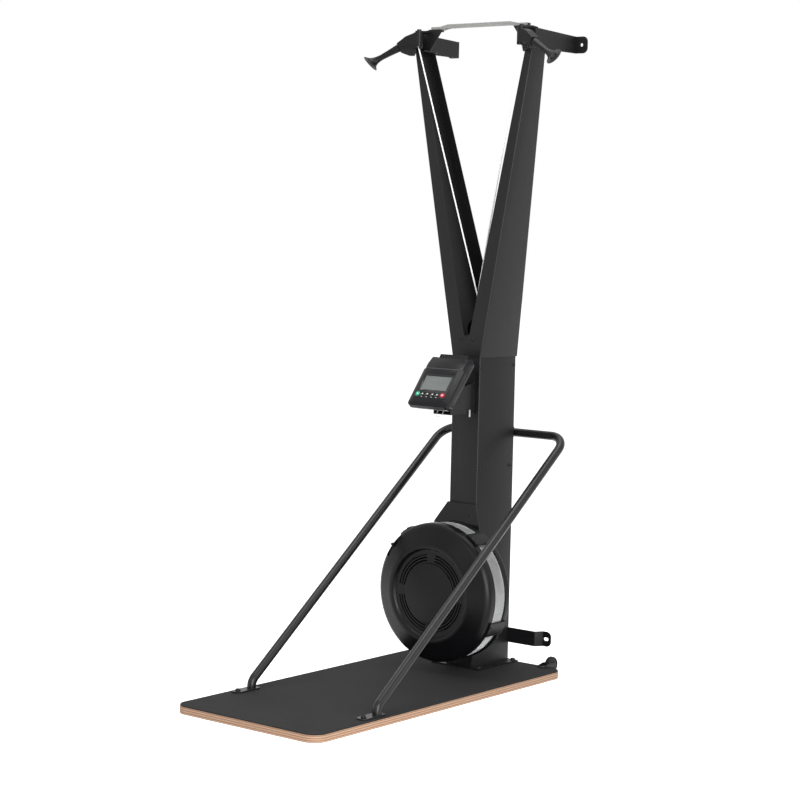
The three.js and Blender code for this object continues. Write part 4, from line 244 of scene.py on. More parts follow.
DIGIT_ROWS_Z = (0.004, -0.018)
DIGIT_HEIGHT = 0.017
DIGIT_WIDTH = 0.009
DIGIT_BAR = 0.0012
DIGIT_SINK = 0.00015
DIGIT_PROUD = 0.0002
HOOD_FOOT = 0.060
HOOD_FRONT_DEPTH = 0.0145
HOOD_STEP_HALF = 0.0735
HOOD_STEP_RADIUS = 0.0014
STEP_SINK = 0.0006
STEP_SEGMENTS = 8
RIM_CORNER_X = 0.066
RIM_CORNER_Z = 0.098
RIM_CORNER_PUSH = 0.0045
RIM_HALF = 0.086
RIM_TOP = 0.120
OVERLAY_HALF = 0.066
OVERLAY_LOW = -0.060
OVERLAY_HIGH = 0.036
OVERLAY_CORNER = 0.005
OVERLAY_THICKNESS = 0.0003
PRINT_THICKNESS = 0.0002
RING_WIDTH = 0.0026
STROKE_HALF = 0.0025
STROKE_Z = -0.0580
STROKE_HEIGHT = 0.0012
LOOP_CORNERS = [
    (0.030, 0.036, -0.076), (0.030, 0.036, -0.110), (0.054, 0.036, -0.110), (0.054, 0.036, -0.076),
]
LOOP_BEND = 0.010
LOOP_RADIUS = 0.0009
CABLE_CLIP_X = 0.0424
CABLE_CLIP_Z = (0.9055, 0.9310)
CABLE_CLIP_HALF = 0.003
CABLE_CLIP_DEPTH = 0.004
CABLE_CLIP_FACE_Y = 0.4165
CABLE_CLIP_EDGE = 0.0021

# Bolts
SCREW_SIZE = (0.0065, 0.0035)
ANCHOR_SIZE = (0.009, 0.007)
BOLT_SINK = 0.0001
SOCKET_SHARE = 0.42
SOCKET_FLOOR_SHARE = 0.4
SOCKET_CORNERS = 6
BOLT_CROWN_SHARE = 0.7
BOLT_SIDE_SHARE = 0.35
BOLT_FILLET_SHARE = 0.25
COLUMN_HALF = 0.059
COLUMN_BOLTS = ((0.457, 1.078), (0.645, 1.078), (0.462, 0.724), (0.638, 0.724))
GUIDE_BOLT = (0.026, 0.4425, 1.172)
FAN_BRACKET_BOLT = (0.050, 0.4245, 0.563)
FAN_BRACKET_SLOPE = (0, -0.9, 0.45)
FOOT_BOLT_X = 0.090
FOOT_BOLTS_Y = (0.438, 0.644)
FOOT_BOLT_Z = 0.033
SHOE_BOLT_OFFSET = 0.065

# Edges, folds and shading
EDGE_SEGMENTS = 2
STEEL_EDGE = 0.0008
SHOE_EDGE = 0.0009
BOLT_EDGE = 0.0006
DRIVE_EDGE = 0.0005
THIN_EDGE = 0.0004
MOULDED_EDGE = 0.0006
CLIP_EDGE = 0.0012
CLIP_EDGE_SEGMENTS = 3
CASE_EDGE = 0.0035
SOFT_SEGMENTS = 4
FOLD_RADIUS = 0.0055
FOLD_SEGMENTS = 4
FOLD_LENGTH = 0.4
FOLD_FACE_WIDTH = 0.012
FOLD_ANGLE = radians(10)
FILLET_REACH_SHARE = 0.45
EYE_RADIUS = 0.0001  # of the pinhole in the middle of a turned face
MERGE = 1e-5
SMOOTH_ANGLE = radians(40)
BELL_SMOOTH_ANGLE = radians(50)
FLAT_ANGLE = radians(1)
FULL_TURN = 360

# Studio
WORLD_LIGHT = 0.5
FLOOR_COLOR = (0.82, 0.82, 0.82)
FLOOR_GLOW = 0.75
FLOOR_SIZE = 30
LAMPS = (  # name, place, target, size and power
    ("edge_softbox", (3.7, -2.9, 1.7), (0, 0.4, 1.2), (2.2, 3.4), 235),
    ("right_softbox", (4.5, 1.0, 2.6), (0, 0.4, 1.1), (1.6, 3.0), 40),
    ("front_softbox", (0.5, -5.0, 3.2), (0, 0.3, 1.0), (3.0, 2.0), 35),
    ("top_softbox", (0, 0.2, 4.6), (0, 0.2, 0), (3.0, 3.0), 120),
)


# Mesh helpers
def new_object(name, mesh):
    piece = bpy.data.objects.new(name, mesh)
    bpy.context.scene.collection.objects.link(piece)
    return piece


def smooth(mesh, angle=SMOOTH_ANGLE):
    mesh.shade_smooth()
    mesh.set_sharp_from_angle(angle=angle)


def object_from_bmesh(name, bm, angle=SMOOTH_ANGLE):
    bmesh.ops.remove_doubles(bm, verts=bm.verts, dist=MERGE)
    bmesh.ops.recalc_face_normals(bm, faces=bm.faces)
    mesh = bpy.data.meshes.new(name)
    bm.to_mesh(mesh)
    bm.free()
    smooth(mesh, angle)
    return new_object(name, mesh)


def dress(piece, body, finish, *replaced):
    material, slot = finish
    piece.data.materials.clear()
    piece.data.materials.append(material)
    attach(piece, body)
    if replaced:
        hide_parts(*replaced)
    return piece


def add_piece(name, bm, body, finish, *replaced):
    dress(object_from_bmesh(name, bm), body, finish, *replaced)


def modify(piece, kind, **settings):
    modifier = piece.modifiers.new(kind.lower(), kind)
    for name, value in settings.items():
        setattr(modifier, name, value)


def add_bevel(piece, width, segments=EDGE_SEGMENTS):
    modify(piece, "BEVEL", width=width, segments=segments, limit_method="ANGLE", angle_limit=SMOOTH_ANGLE,
           harden_normals=True)


def round_folds(bm, radius):
    """Rounds the long outer folds between wide faces, as a press brake leaves them."""
    folds = []
    for edge in bm.edges:
        length = edge.calc_length()
        wide = len(edge.link_faces) == 2 and all(
            face.calc_area() / length > FOLD_FACE_WIDTH for face in edge.link_faces)
        if length > FOLD_LENGTH and wide and edge.is_convex and edge.calc_face_angle(0) > FOLD_ANGLE:
            folds.append(edge)
    bmesh.ops.bevel(bm, geom=folds, offset=radius, offset_type="OFFSET", affect="EDGES",
                    segments=FOLD_SEGMENTS, profile=0.5, clamp_overlap=False)


def softened(node, finish, width, segments=EDGE_SEGMENTS, reshape=None, fold=0):
    """A copy of a CAD node with its edges rounded, as pressed or moulded edges are."""
    mesh = nodes[node].data.copy()
    bm = bmesh.new()
    bm.from_mesh(mesh)
    for vert in bm.verts if reshape else []:
        vert.co = reshape(vert.co)
    bmesh.ops.remove_doubles(bm, verts=bm.verts, dist=MERGE)
    bmesh.ops.dissolve_limit(bm, angle_limit=FLAT_ANGLE, verts=bm.verts, edges=bm.edges)
    if fold:
        round_folds(bm, fold)
    bm.to_mesh(mesh)
    bm.free()
    smooth(mesh)
    piece = new_object(node + ".soft", mesh)
    add_bevel(piece, width, segments)
    return dress(piece, nodes[node]["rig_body"], finish, node)


def settle(piece):
    """Makes the piece's modifiers part of its mesh."""
    bpy.context.view_layer.update()
    graph = bpy.context.evaluated_depsgraph_get()
    mesh = bpy.data.meshes.new_from_object(piece.evaluated_get(graph))
    piece.modifiers.clear()
    piece.data = mesh


def carve(piece, cutter):
    """Cuts one closed mesh from another."""
    modify(piece, "BOOLEAN", operation="DIFFERENCE", object=cutter)
    settle(piece)
    bpy.data.objects.remove(cutter)


def moulded(node, finish, reshape):
    """A copy of a CAD node with soft moulded edges, reshaped point by point on the way."""
    piece = new_object(node + ".moulded", nodes[node].data.copy())
    modify(piece, "REMESH", mode="VOXEL", voxel_size=HOUSING_VOXEL)
    settle(piece)
    for vert in piece.data.vertices:
        vert.co = reshape(vert.co)
    modify(piece, "SMOOTH", factor=0.5, iterations=HOUSING_ROUNDS)
    settle(piece)
    piece.data.shade_smooth()
    return dress(piece, nodes[node]["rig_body"], finish, node)


def filleted(points, radius, steps=5, closed=False):
    """The outline with each corner rounded, by less where its sides are short."""
    rounded = []
    count = len(points)
    for i, corner in enumerate(points):
        if not closed and i in (0, count - 1):
            rounded.append(corner)
            continue
        here = Vector(corner)
        before = Vector(points[i - 1]) - here
        after = Vector(points[(i + 1) % count]) - here
        reach = min(radius, before.length * FILLET_REACH_SHARE, after.length * FILLET_REACH_SHARE)
        start = here + before.normalized() * reach
        end = here + after.normalized() * reach
        for k in range(steps + 1):
            t = k / steps
            point = start * (1 - t) ** 2 + here * (2 * t * (1 - t)) + end * t ** 2
            rounded.append(tuple(point))
    return rounded


def bridge(bm, ring, following, left_open=()):
    """Faces from one ring of vertices to the next, but for the steps that are left open."""
    for k in range(len(ring)):
        if k not in left_open:
            after = (k + 1) % len(ring)
            bm.faces.new((ring[k], ring[after], following[after], following[k]))


def skin(sections):
    """A closed surface over outlines that follow each other, with a cap at each end."""
    bm = bmesh.new()
    rings = [[bm.verts.new(point) for point in section] for section in sections]
    for ring, following in zip(rings, rings[1:]):
        bridge(bm, ring, following)
    bm.faces.new(rings[0][::-1])
    bm.faces.new(rings[-1])
    return bm


def ring_of(bm, radius, y, steps, shift=0):
    """A ring of vertices round the line along Y through the origin."""
    angles = [tau * (k + shift) / steps for k in range(steps)]
    return [bm.verts.new((radius * cos(angle), y, radius * sin(angle))) for angle in angles]


def lathe(profile, steps, closed=True, skip=None):
    """Turns (radius, y) points round the line along Y, and skips the faces of any openings."""
    bm = bmesh.new()
    rings = [ring_of(bm, radius, y, steps) for radius, y in profile]
    angles = [FULL_TURN * (2 * k + 1) / (2 * steps) for k in range(steps)]
    for i, (ring, following) in enumerate(zip(rings, rings[1:] + (rings[:1] if closed else []))):
        radius, y = [(a + b) / 2 for a, b in zip(profile[i], profile[(i + 1) % len(profile)])]
        left_open = {k for k, angle in enumerate(angles) if skip and skip(radius, y, angle)}
        bridge(bm, ring, following, left_open)
    return bm


def tube(name, points, radius, resolution=8):
    """A round bar along the points."""
    curve = bpy.data.curves.new(name, "CURVE")
    curve.dimensions = "3D"
    curve.bevel_depth = radius
    curve.bevel_resolution = resolution
    curve.use_fill_caps = True
    spline = curve.splines.new("POLY")
    spline.points.add(len(points) - 1)
    for spot, point in zip(spline.points, points):
        spot.co = (*point, 1)
    return new_object(name, curve)


def bent_route(corners, radii, steps):
    """The points of a path whose inner corners are bent round."""
    corners = [Vector(corner) for corner in corners]
    route = [corners[0]]
    for i in range(1, len(corners) - 1):
        before = (corners[i] - corners[i - 1]).normalized()
        after = (corners[i + 1] - corners[i]).normalized()
        turn = before.angle(after)
        start = corners[i] - before * radii[i - 1] * tan(turn / 2)
        inward = (after - before * before.dot(after)).normalized()
        for k in range(steps + 1):
            angle = turn * k / steps
            forward = before * radii[i - 1] * sin(angle)
            route.append(start + forward + inward * radii[i - 1] * (1 - cos(angle)))
    route.append(corners[-1])
    return route


# Materials
def set_values(node, **values):
    """Sets a node's inputs, and its settings where it has no input of that name."""
    for key, value in values.items():
        if key in node.inputs:
            node.inputs[key].default_value = value
        else:
            setattr(node, key, value)
    return node


def shader_of(name, color, roughness, metallic=0, specular=0.5):
    material = bpy.data.materials.new(name)
    material.use_nodes = True
    shader = set_values(
        material.node_tree.nodes["Principled BSDF"], Metallic=metallic, Roughness=roughness,
        **{"Base Color": (*color, 1), "Specular IOR Level": specular})
    return material, shader


def add_node(beside, kind, **values):
    """A new node in the tree of another node or socket."""
    return set_values(beside.id_data.nodes.new("ShaderNode" + kind), **values)


def link(output, target):
    output.id_data.links.new(output, target)


def coordinates(shader, scale=(1, 1, 1)):
    place = add_node(shader, "TexCoord")
    mapping = add_node(shader, "Mapping", Scale=scale)
    link(place.outputs["Object"], mapping.inputs["Vector"])
    return mapping.outputs["Vector"]


def noise(vector, scale, detail=2):
    node = add_node(vector, "TexNoise", Scale=scale, Detail=detail)
    link(vector, node.inputs["Vector"])
    return node.outputs["Fac"]


def ramp(factor, first, second, start, end):
    """The first colour up to the start, the second from the end on, and a blend between them."""
    node = add_node(factor, "ValToRGB")
    for element, position, color in zip(node.color_ramp.elements, (start, end), (first, second)):
        element.position = position
        element.color = (*color, 1)
    link(factor, node.inputs["Fac"])
    return node.outputs["Color"]


def bump(shader, height, distance, strength=1.0):
    node = add_node(shader, "Bump", Distance=distance, Strength=strength)
    link(height, node.inputs["Height"])
    link(node.outputs["Normal"], shader.inputs["Normal"])


def shade_of(color, factor):
    return tuple(channel * factor for channel in color)


def mottle(shader, vector, color, scale, spread):
    """Slight changes of colour over a surface."""
    patches = noise(vector, scale, detail=4)
    result = ramp(patches, shade_of(color, 1 - spread), shade_of(color, 1 + spread), start=0.3, end=0.7)
    link(result, shader.inputs["Base Color"])


def between(factor, low, high):
    """The low value where the factor is 0, the high one where it is 1."""
    node = add_node(factor, "MapRange", **{"To Min": low, "To Max": high})
    link(factor, node.inputs["Value"])
    return node.outputs["Result"]


def roughen(shader, vector, scale, low, high):
    """Slight changes of gloss over a surface."""
    link(between(noise(vector, scale, detail=3), low, high), shader.inputs["Roughness"])


def add_grain(shader, vector, scale, depth, detail=2, strength=1):
    """A fine relief of noise, or of round cells where the detail is zero."""
    if detail:
        height = noise(vector, scale, detail)
    else:
        cells = add_node(vector, "TexVoronoi", Scale=scale)
        link(vector, cells.inputs["Vector"])
        height = cells.outputs["Distance"]
    bump(shader, height, depth, strength)


def surface(name, color, roughness, metallic=0, specular=0.5, stretch=(1, 1, 1), patches=None, gloss=None,
            grain=None):
    """A material with patches of colour, changes of gloss and a fine relief, where they are given."""
    material, shader = shader_of(name, color, roughness, metallic, specular)
    vector = coordinates(shader, stretch)
    if patches:
        mottle(shader, vector, color, **patches)
    if gloss:
        roughen(shader, vector, **gloss)
    if grain:
        add_grain(shader, vector, **grain)
    return material


def powder_coat():
    """Matte black powder coat with a fine orange peel."""
    return surface(
        "powder_coat", (0.0048, 0.0048, 0.0055), roughness=0.42, specular=0.24,
        patches={"scale": 9, "spread": 0.12}, gloss={"scale": 40, "low": 0.36, "high": 0.48},
        grain={"scale": 1100, "depth": 0.00012, "detail": 3})


def satin_tube():
    """Smoother black coat of the brace tube."""
    return surface(
        "satin_tube", (0.006, 0.006, 0.0065), roughness=0.3, specular=0.3,
        patches={"scale": 14, "spread": 0.1}, gloss={"scale": 60, "low": 0.26, "high": 0.36},
        grain={"scale": 700, "depth": 0.00006})


def silver_coat():
    """Silver paint of the top bar, with streaks along it."""
    color = (0.26, 0.26, 0.255)
    material, shader = shader_of("silver_coat", color, roughness=0.42, metallic=0.45, specular=0.4)
    mottle(shader, coordinates(shader, (1, 8, 8)), color, scale=30, spread=0.06)
    add_grain(shader, coordinates(shader), scale=1500, depth=0.00004)
    return material


def bright_steel():
    """Turned steel with fine rings of tool marks."""
    return surface(
        "bright_steel", (0.46, 0.47, 0.48), roughness=0.3, metallic=1, stretch=(1, 30, 1),
        gloss={"scale": 60, "low": 0.24, "high": 0.4}, grain={"scale": 200, "depth": 0.00004})


def mesh_steel():
    """Bare sheet of the perforated band."""
    return surface(
        "mesh_steel", (0.74, 0.745, 0.75), roughness=0.42, metallic=0.45,
        patches={"scale": 25, "spread": 0.1}, gloss={"scale": 80, "low": 0.36, "high": 0.5})


def moulded_plastic():
    """Black moulded plastic with a fine grain."""
    return surface(
        "moulded_plastic", (0.0030, 0.0030, 0.0035), roughness=0.28, specular=0.16,
        patches={"scale": 12, "spread": 0.08}, gloss={"scale": 50, "low": 0.26, "high": 0.31},
        grain={"scale": 1400, "depth": 0.00008, "detail": 0})


def gloss_plastic():
    """Semi-gloss plastic of the console."""
    return surface(
        "gloss_plastic", (0.0042, 0.0042, 0.0054), roughness=0.26, specular=0.2,
        gloss={"scale": 70, "low": 0.2, "high": 0.3}, grain={"scale": 1600, "depth": 0.00003})


def plywood():
    """Edge of birch plywood: light and dark plies, with grain along the edge."""
    dark_ply = (0.255, 0.135, 0.077)
    pale_ply = (0.45, 0.305, 0.215)
    dark_grain = (0.72, 0.66, 0.6)
    material, shader = shader_of("plywood", (0.6, 0.37, 0.24), roughness=0.55, specular=0.35)
    plies = add_node(shader, "TexWave", Scale=44, Distortion=0.9, Detail=2, bands_direction="Z")
    plies.inputs["Detail Scale"].default_value = 3
    link(coordinates(shader), plies.inputs["Vector"])
    layers = ramp(plies.outputs["Fac"], dark_ply, pale_ply, start=0.25, end=0.7)
    grain = noise(coordinates(shader, (6, 6, 160)), scale=14, detail=5)
    streaks = ramp(grain, dark_grain, (1, 1, 1), start=0.35, end=0.62)
    mix = add_node(shader, "Mix", data_type="RGBA", blend_type="MULTIPLY")
    mix.inputs["Factor"].default_value = 0.8
    link(layers, mix.inputs["A"])
    link(streaks, mix.inputs["B"])
    link(mix.outputs["Result"], shader.inputs["Base Color"])
    bump(shader, plies.outputs["Fac"], distance=0.0001)
    return material


def mat_rubber():
    """Black mat with a fine pebbled surface."""
    return surface(
        "mat_rubber", (0.0160, 0.0160, 0.0165), roughness=0.8, specular=0.15,
        patches={"scale": 6, "spread": 0.1},
        grain={"scale": 420, "depth": 0.0005, "detail": 0, "strength": 0.8})


def roller_rubber():
    """Dark rubber of the transport rollers."""
    return surface(
        "roller_rubber", (0.008, 0.008, 0.009), roughness=0.6, specular=0.22,
        patches={"scale": 60, "spread": 0.15}, grain={"scale": 900, "depth": 0.0001, "detail": 3})


def braided_cord():
    """White braid: two crossing sets of slanted strands."""
    shadow = (0.55, 0.55, 0.54)
    strand = (0.85, 0.85, 0.84)
    material, shader = shader_of("braided_cord", (0.78, 0.78, 0.77), roughness=0.75, specular=0.3)
    weave = add_node(shader, "Math", operation="MAXIMUM")
    for socket, slant in zip(weave.inputs, (1, -1)):
        wave = add_node(shader, "TexWave", Scale=160, bands_direction="DIAGONAL")
        link(coordinates(shader, (slant, slant, 1)), wave.inputs["Vector"])
        link(wave.outputs["Fac"], socket)
    tone = ramp(weave.outputs["Value"], shadow, strand, start=0.1, end=0.6)
    link(tone, shader.inputs["Base Color"])
    bump(shader, weave.outputs["Value"], distance=0.0003)
    return material


def display_glass():
    """Grey-green liquid crystal behind a clear window."""
    return surface(
        "display_glass", (0.114, 0.125, 0.121), roughness=0.16,
        patches={"scale": 22, "spread": 0.08}, gloss={"scale": 30, "low": 0.12, "high": 0.2})


def plain(name, color, roughness=0.45, specular=0.4):
    """A plain coloured plastic or rubber."""
    return surface(
        name, color, roughness, specular=specular,
        patches={"scale": 200, "spread": 0.06}, grain={"scale": 2500, "depth": 0.00003})


POWDER_COAT = (powder_coat(), "black_steel")
SATIN_TUBE = (satin_tube(), "black_tube")
SILVER_COAT = (silver_coat(), "silver_steel")
BRIGHT_STEEL = (bright_steel(), "bright_steel")
MESH_STEEL = (mesh_steel(), "mesh_steel")
MOULDED = (moulded_plastic(), "black_plastic")
GLOSS = (gloss_plastic(), "gloss_plastic")
GRIP_PLASTIC = (plain("grip_plastic", (0.0050, 0.0050, 0.0056), 0.42, specular=0.15), "black_plastic")
OVERLAY = (plain("overlay_foil", (0.0028, 0.0028, 0.0034), roughness=0.22), "gloss_plastic")
GREEN_RING = (plain("green_ring", (0.008, 0.055, 0.035), roughness=0.4), "green_button")
RED_RING = (plain("red_ring", (0.13, 0.006, 0.014), roughness=0.4), "red_button")
# Painted highlight: the hood's step is coloured a lighter grey than the case to stand for the light line
# along its rounded edge.
HOOD_STEP_PAINTED_HIGHLIGHT = (plain("hood_step_painted_highlight", (0.045, 0.045, 0.047), roughness=0.35), "gloss_plastic")
CABLE = (plain("grey_cable", (0.42, 0.42, 0.43), roughness=0.4), None)
PLYWOOD = (plywood(), "plywood")
MAT = (mat_rubber(), "mat_rubber")
ROLLER = (roller_rubber(), "roller_rubber")
BRAID = (braided_cord(), "white_cord")
DISPLAY = (display_glass(), "screen_glass")
SEGMENT = (plain("display_segment", (0.13, 0.15, 0.142)), "screen_glass")
GREEN = (plain("green_button", (0.02, 0.36, 0.20)), "green_button")
RED = (plain("red_button", (0.50, 0.02, 0.045)), "red_button")
WHITE_MARK = (plain("white_mark", (0.72, 0.72, 0.72)), "grey_button")
DARK_BUTTON = (plain("dark_button", (0.02, 0.02, 0.022)), "grey_button")


# Frame
def lowered_tongue(point):
    """The bracket's tongue, which carries the pivot bolt, brought down onto the housing."""
    on_tongue = TONGUE_Z - GAP < point.z < TONGUE_Z + TONGUE_PLATE + GAP and point.y < GUSSET_FRONT_Y + GAP
    if on_tongue:
        return point - Vector((0, 0, TONGUE_LOWERING))
    rise = max(point.z - BRACKET_EDGE_Z, 0)
    return point - Vector((0, 0, rise * (1 - BRACKET_TOP_SHARE)))


def lowered_bolt(point):
    return point - Vector((0, 0, TONGUE_LOWERING))


def dress_frame():
    for node in ("lower_column", "v_mast"):
        softened(node, POWDER_COAT, STEEL_EDGE, fold=FOLD_RADIUS)
    for node in (
        "left_wall_bracket", "right_wall_bracket", "lower_wall_bar", "brace_clamp", "fan_bracket",
        "guide_bracket", "console_arm", "left_roller_fork", "right_roller_fork",
    ):
        softened(node, POWDER_COAT, STEEL_EDGE)
    for side in ("left", "right"):
        softened(side + "_head_bracket", POWDER_COAT, STEEL_EDGE, reshape=lowered_tongue)
        softened(side + "_pivot_bolt", POWDER_COAT, BOLT_EDGE, reshape=lowered_bolt)
    for node in ("left_brace_shoe", "right_brace_shoe"):
        softened(node, SATIN_TUBE, SHOE_EDGE)
    softened("top_crossbar", SILVER_COAT, STEEL_EDGE)


def add_brace():
    foot_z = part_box("right_brace_shoe")[1].z
    half = [
        (BRACE_HALF_SPAN, BRACE_FOOT_Y, foot_z),
        (BRACE_HALF_SPAN, BRACE_FOOT_Y, BRACE_FOOT_BEND_Z),
        (BRACE_HALF_SPAN, BRACE_TOP_Y, BRACE_TOP_Z),
    ]
    corners = half + [(-x, y, z) for x, y, z in reversed(half)]
    radii = [BRACE_FOOT_BEND_RADIUS, BRACE_ELBOW_RADIUS, BRACE_ELBOW_RADIUS, BRACE_FOOT_BEND_RADIUS]
    brace = tube("brace_tube.round", bent_route(corners, radii, steps=14), BRACE_RADIUS, resolution=10)
    dress(brace, "frame", SATIN_TUBE, "brace_tube")


# Platform
def add_sheet(node, finish, radius, edge):
    """A flat sheet of a node's size with round corners."""
    low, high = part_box(node)
    middles = (
        (high.x - radius, high.y - radius), (low.x + radius, high.y - radius),
        (low.x + radius, low.y + radius), (high.x - radius, low.y + radius),
    )
    outline = []
    for quarter, (x, y) in enumerate(middles):
        for k in range(SHEET_CORNER_STEPS + 1):
            angle = pi / 2 * (quarter + k / SHEET_CORNER_STEPS)
            outline.append((x + radius * cos(angle), y + radius * sin(angle)))
    sections = [[(x, y, z) for x, y in outline] for z in (low.z, high.z)]
    piece = object_from_bmesh(node + ".round", skin(sections))
    add_bevel(piece, edge, SHEET_EDGE_SEGMENTS)
    dress(piece, "frame", finish, node)


def add_platform():
    add_sheet("platform_board", PLYWOOD, BOARD_CORNER, BOARD_EDGE)
    add_sheet("platform_mat", MAT, MAT_CORNER, MAT_EDGE)


def add_rollers():
    for side in ("left", "right"):
        low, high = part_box(side + "_roller")
        radius = (high.z - low.z) / 2
        half = (high.x - low.x) / 2
        hub = radius * ROLLER_HUB_SHARE
        face = [
            (ROLLER_BORE_RADIUS, half), (hub, half), (hub + ROLLER_HUB_SLOPE, half - ROLLER_SINK),
            (radius - ROLLER_RIM, half - ROLLER_SINK), (radius - ROLLER_CHAMFER, half),
            (radius, half - ROLLER_CHAMFER),
        ]
        profile = [(reach, -y) for reach, y in face] + face[::-1]
        bm = lathe(filleted(profile, ROLLER_FILLET, steps=3, closed=True), WHEEL_STEPS)
        bm.transform(Matrix.Translation((low + high) / 2) @ Matrix.Rotation(pi / 2, 4, "Z"))
        add_piece(side + "_roller.round", bm, side + "_wheel", ROLLER, side + "_roller")


# Fan
def apart(angle, other, turn=FULL_TURN):
    """How many degrees apart two angles are, where the form repeats after each turn."""
    return abs((angle - other + turn / 2) % turn - turn / 2)


def cover_opening(radius, y, angle):
    """Where the cover is open: its louvres, and the notch for the damper's lever."""
    near_notch = apart(angle, NOTCH_ANGLE) < NOTCH_HALF and y < COVER_FRONT_Y + COVER_EDGE_DROP
    if near_notch and COVER_RADIUS - NOTCH_DEPTH < radius < COVER_RADIUS - NOTCH_RIM:
        return True
    sector = FULL_TURN / SLOT_SECTORS
    if apart(angle, SLOT_TURN, sector) >= (sector - SLOT_BRIDGE) / 2:
        return False
    starts = [SLOT_FIRST_RADIUS + row * SLOT_PITCH for row in range(SLOT_ROWS)]
    return any(start < radius < start + SLOT_WIDTH for start in starts)


def turned(name, profile, steps, closed=True, skip=None):
    """A piece turned round the fan's axle."""
    bm = lathe([(radius - FACET_ROOM, y) for radius, y in profile], steps, closed, skip)
    bmesh.ops.translate(bm, verts=bm.verts, vec=(0, 0, FAN_HEIGHT))
    return object_from_bmesh(name, bm)


def insert_ring(profile, radius):
    """The profile with a point added where it crosses a radius."""
    for i in range(len(profile) - 1):
        (r0, y0), (r1, y1) = profile[i], profile[i + 1]
        if r0 < radius < r1:
            share = (radius - r0) / (r1 - r0)
            return profile[:i + 1] + [(radius, y0 + (y1 - y0) * share)] + profile[i + 1:]
    return profile


def add_cover():
    front = COVER_FRONT_Y
    sunk = front + COVER_DISC_RISE
    ridge = COVER_RIDGE_RADIUS
    shoulder_y = front + COVER_SHOULDER_DROP
    edge_y = front + COVER_EDGE_DROP
    inner = filleted([
        (COVER_EYE_RADIUS, front), (COVER_DISC_RADIUS, front), (COVER_DISC_RADIUS, sunk),
        (SLOT_FIRST_RADIUS, sunk),
    ], COVER_DISC_FILLET)
    slots = []
    for row in range(SLOT_ROWS):
        start = SLOT_FIRST_RADIUS + row * SLOT_PITCH
        slots += [(start, sunk), (start + SLOT_WIDTH, sunk)]
    outer = filleted([
        (slots[-1][0] + SLOT_MARGIN, sunk),
        (ridge - 2 * COVER_RIDGE_HALF, sunk),
        (ridge - COVER_RIDGE_HALF, front),
        (ridge + COVER_RIDGE_HALF, front),
        (COVER_SHOULDER_RADIUS, shoulder_y),
        (COVER_RADIUS - COVER_SIDE_TAPER, (shoulder_y + edge_y) / 2),
        (COVER_RADIUS, edge_y),
        (COVER_RADIUS, front + COVER_DEPTH),
    ], COVER_FILLET, steps=8)
    profile = inner[:-1] + slots + outer
    profile = insert_ring(profile, COVER_RADIUS - NOTCH_DEPTH)
    profile = insert_ring(profile, COVER_RADIUS - NOTCH_RIM)
    piece = turned("fan_front_cover.round", profile, steps=360, closed=False, skip=cover_opening)
    modify(piece, "SOLIDIFY", thickness=COVER_WALL, offset=-1, use_even_offset=False)
    add_bevel(piece, MOULDED_EDGE)
    dress(piece, "frame", MOULDED, "fan_front_cover")


def add_notch_floor():
    """A shallow tray behind the damper's lever, so that the notch isn't open to the wheel."""
    inner = COVER_RADIUS - NOTCH_DEPTH - NOTCH_RIM
    outer = COVER_RADIUS - NOTCH_RIM
    front = COVER_FRONT_Y + COVER_SHOULDER_DROP + NOTCH_RIM
    back = COVER_FRONT_Y + NOTCH_FLOOR_DROP
    profile = [
        (inner, front), (inner, back), (outer, back), (outer, back + NOTCH_FLOOR),
        (inner - NOTCH_FLOOR, back + NOTCH_FLOOR), (inner - NOTCH_FLOOR, front),
    ]
    sections = []
    for k in range(NOTCH_STEPS + 1):
        angle = radians(NOTCH_ANGLE + NOTCH_HALF * (2 * k / NOTCH_STEPS - 1))
        sections.append([(r * cos(angle), y, FAN_HEIGHT + r * sin(angle)) for r, y in profile])
    add_piece("fan_front_cover.notch", skin(sections), "frame", MOULDED)


def add_pan():
    front = COVER_FRONT_Y + COVER_DEPTH + BAND_WIDTH + GAP
    back = COVER_FRONT_Y + COVER_DEPTH + BAND_WIDTH + PAN_DEPTH
    rim = COVER_RADIUS - PAN_RIM
    profile = filleted([
        (PAN_BORE_RADIUS, back - COVER_WALL), (rim, back - COVER_WALL), (rim, front), (COVER_RADIUS, front),
        (COVER_RADIUS, back - PAN_RIM), (rim, back), (PAN_BORE_RADIUS, back),
    ], PAN_FILLET, steps=4, closed=True)
    dress(turned("fan_rear_pan.round", profile, steps=180), "frame", MOULDED, "fan_rear_pan")


def add_mesh_band():
    """Perforated sheet: a lattice of thin bridges between small diamond holes."""
    front = COVER_FRONT_Y + COVER_DEPTH + GAP
    pitch = (BAND_WIDTH - 2 * GAP) / BAND_ROWS
    bm = bmesh.new()
    grid = [
        ring_of(bm, BAND_RADIUS - BAND_SINK, front + row * pitch / 2, BAND_COLUMNS, row % 2 / 2)
        for row in range(2 * BAND_ROWS + 1)
    ]
    for row in range(2 * BAND_ROWS - 1):
        sides = grid[row + 1]
        for k in range(BAND_COLUMNS):
            place = (k + row % 2) % BAND_COLUMNS
            bm.faces.new((grid[row][place], sides[place], grid[row + 2][place], sides[place - 1]))
    bmesh.ops.translate(bm, verts=bm.verts, vec=(0, 0, FAN_HEIGHT))
    piece = object_from_bmesh("fan_mesh_band.fine", bm)
    modify(piece, "WIREFRAME", thickness=BAND_WIRE, use_even_offset=False)
    dress(piece, "frame", MESH_STEEL, "fan_mesh_band")


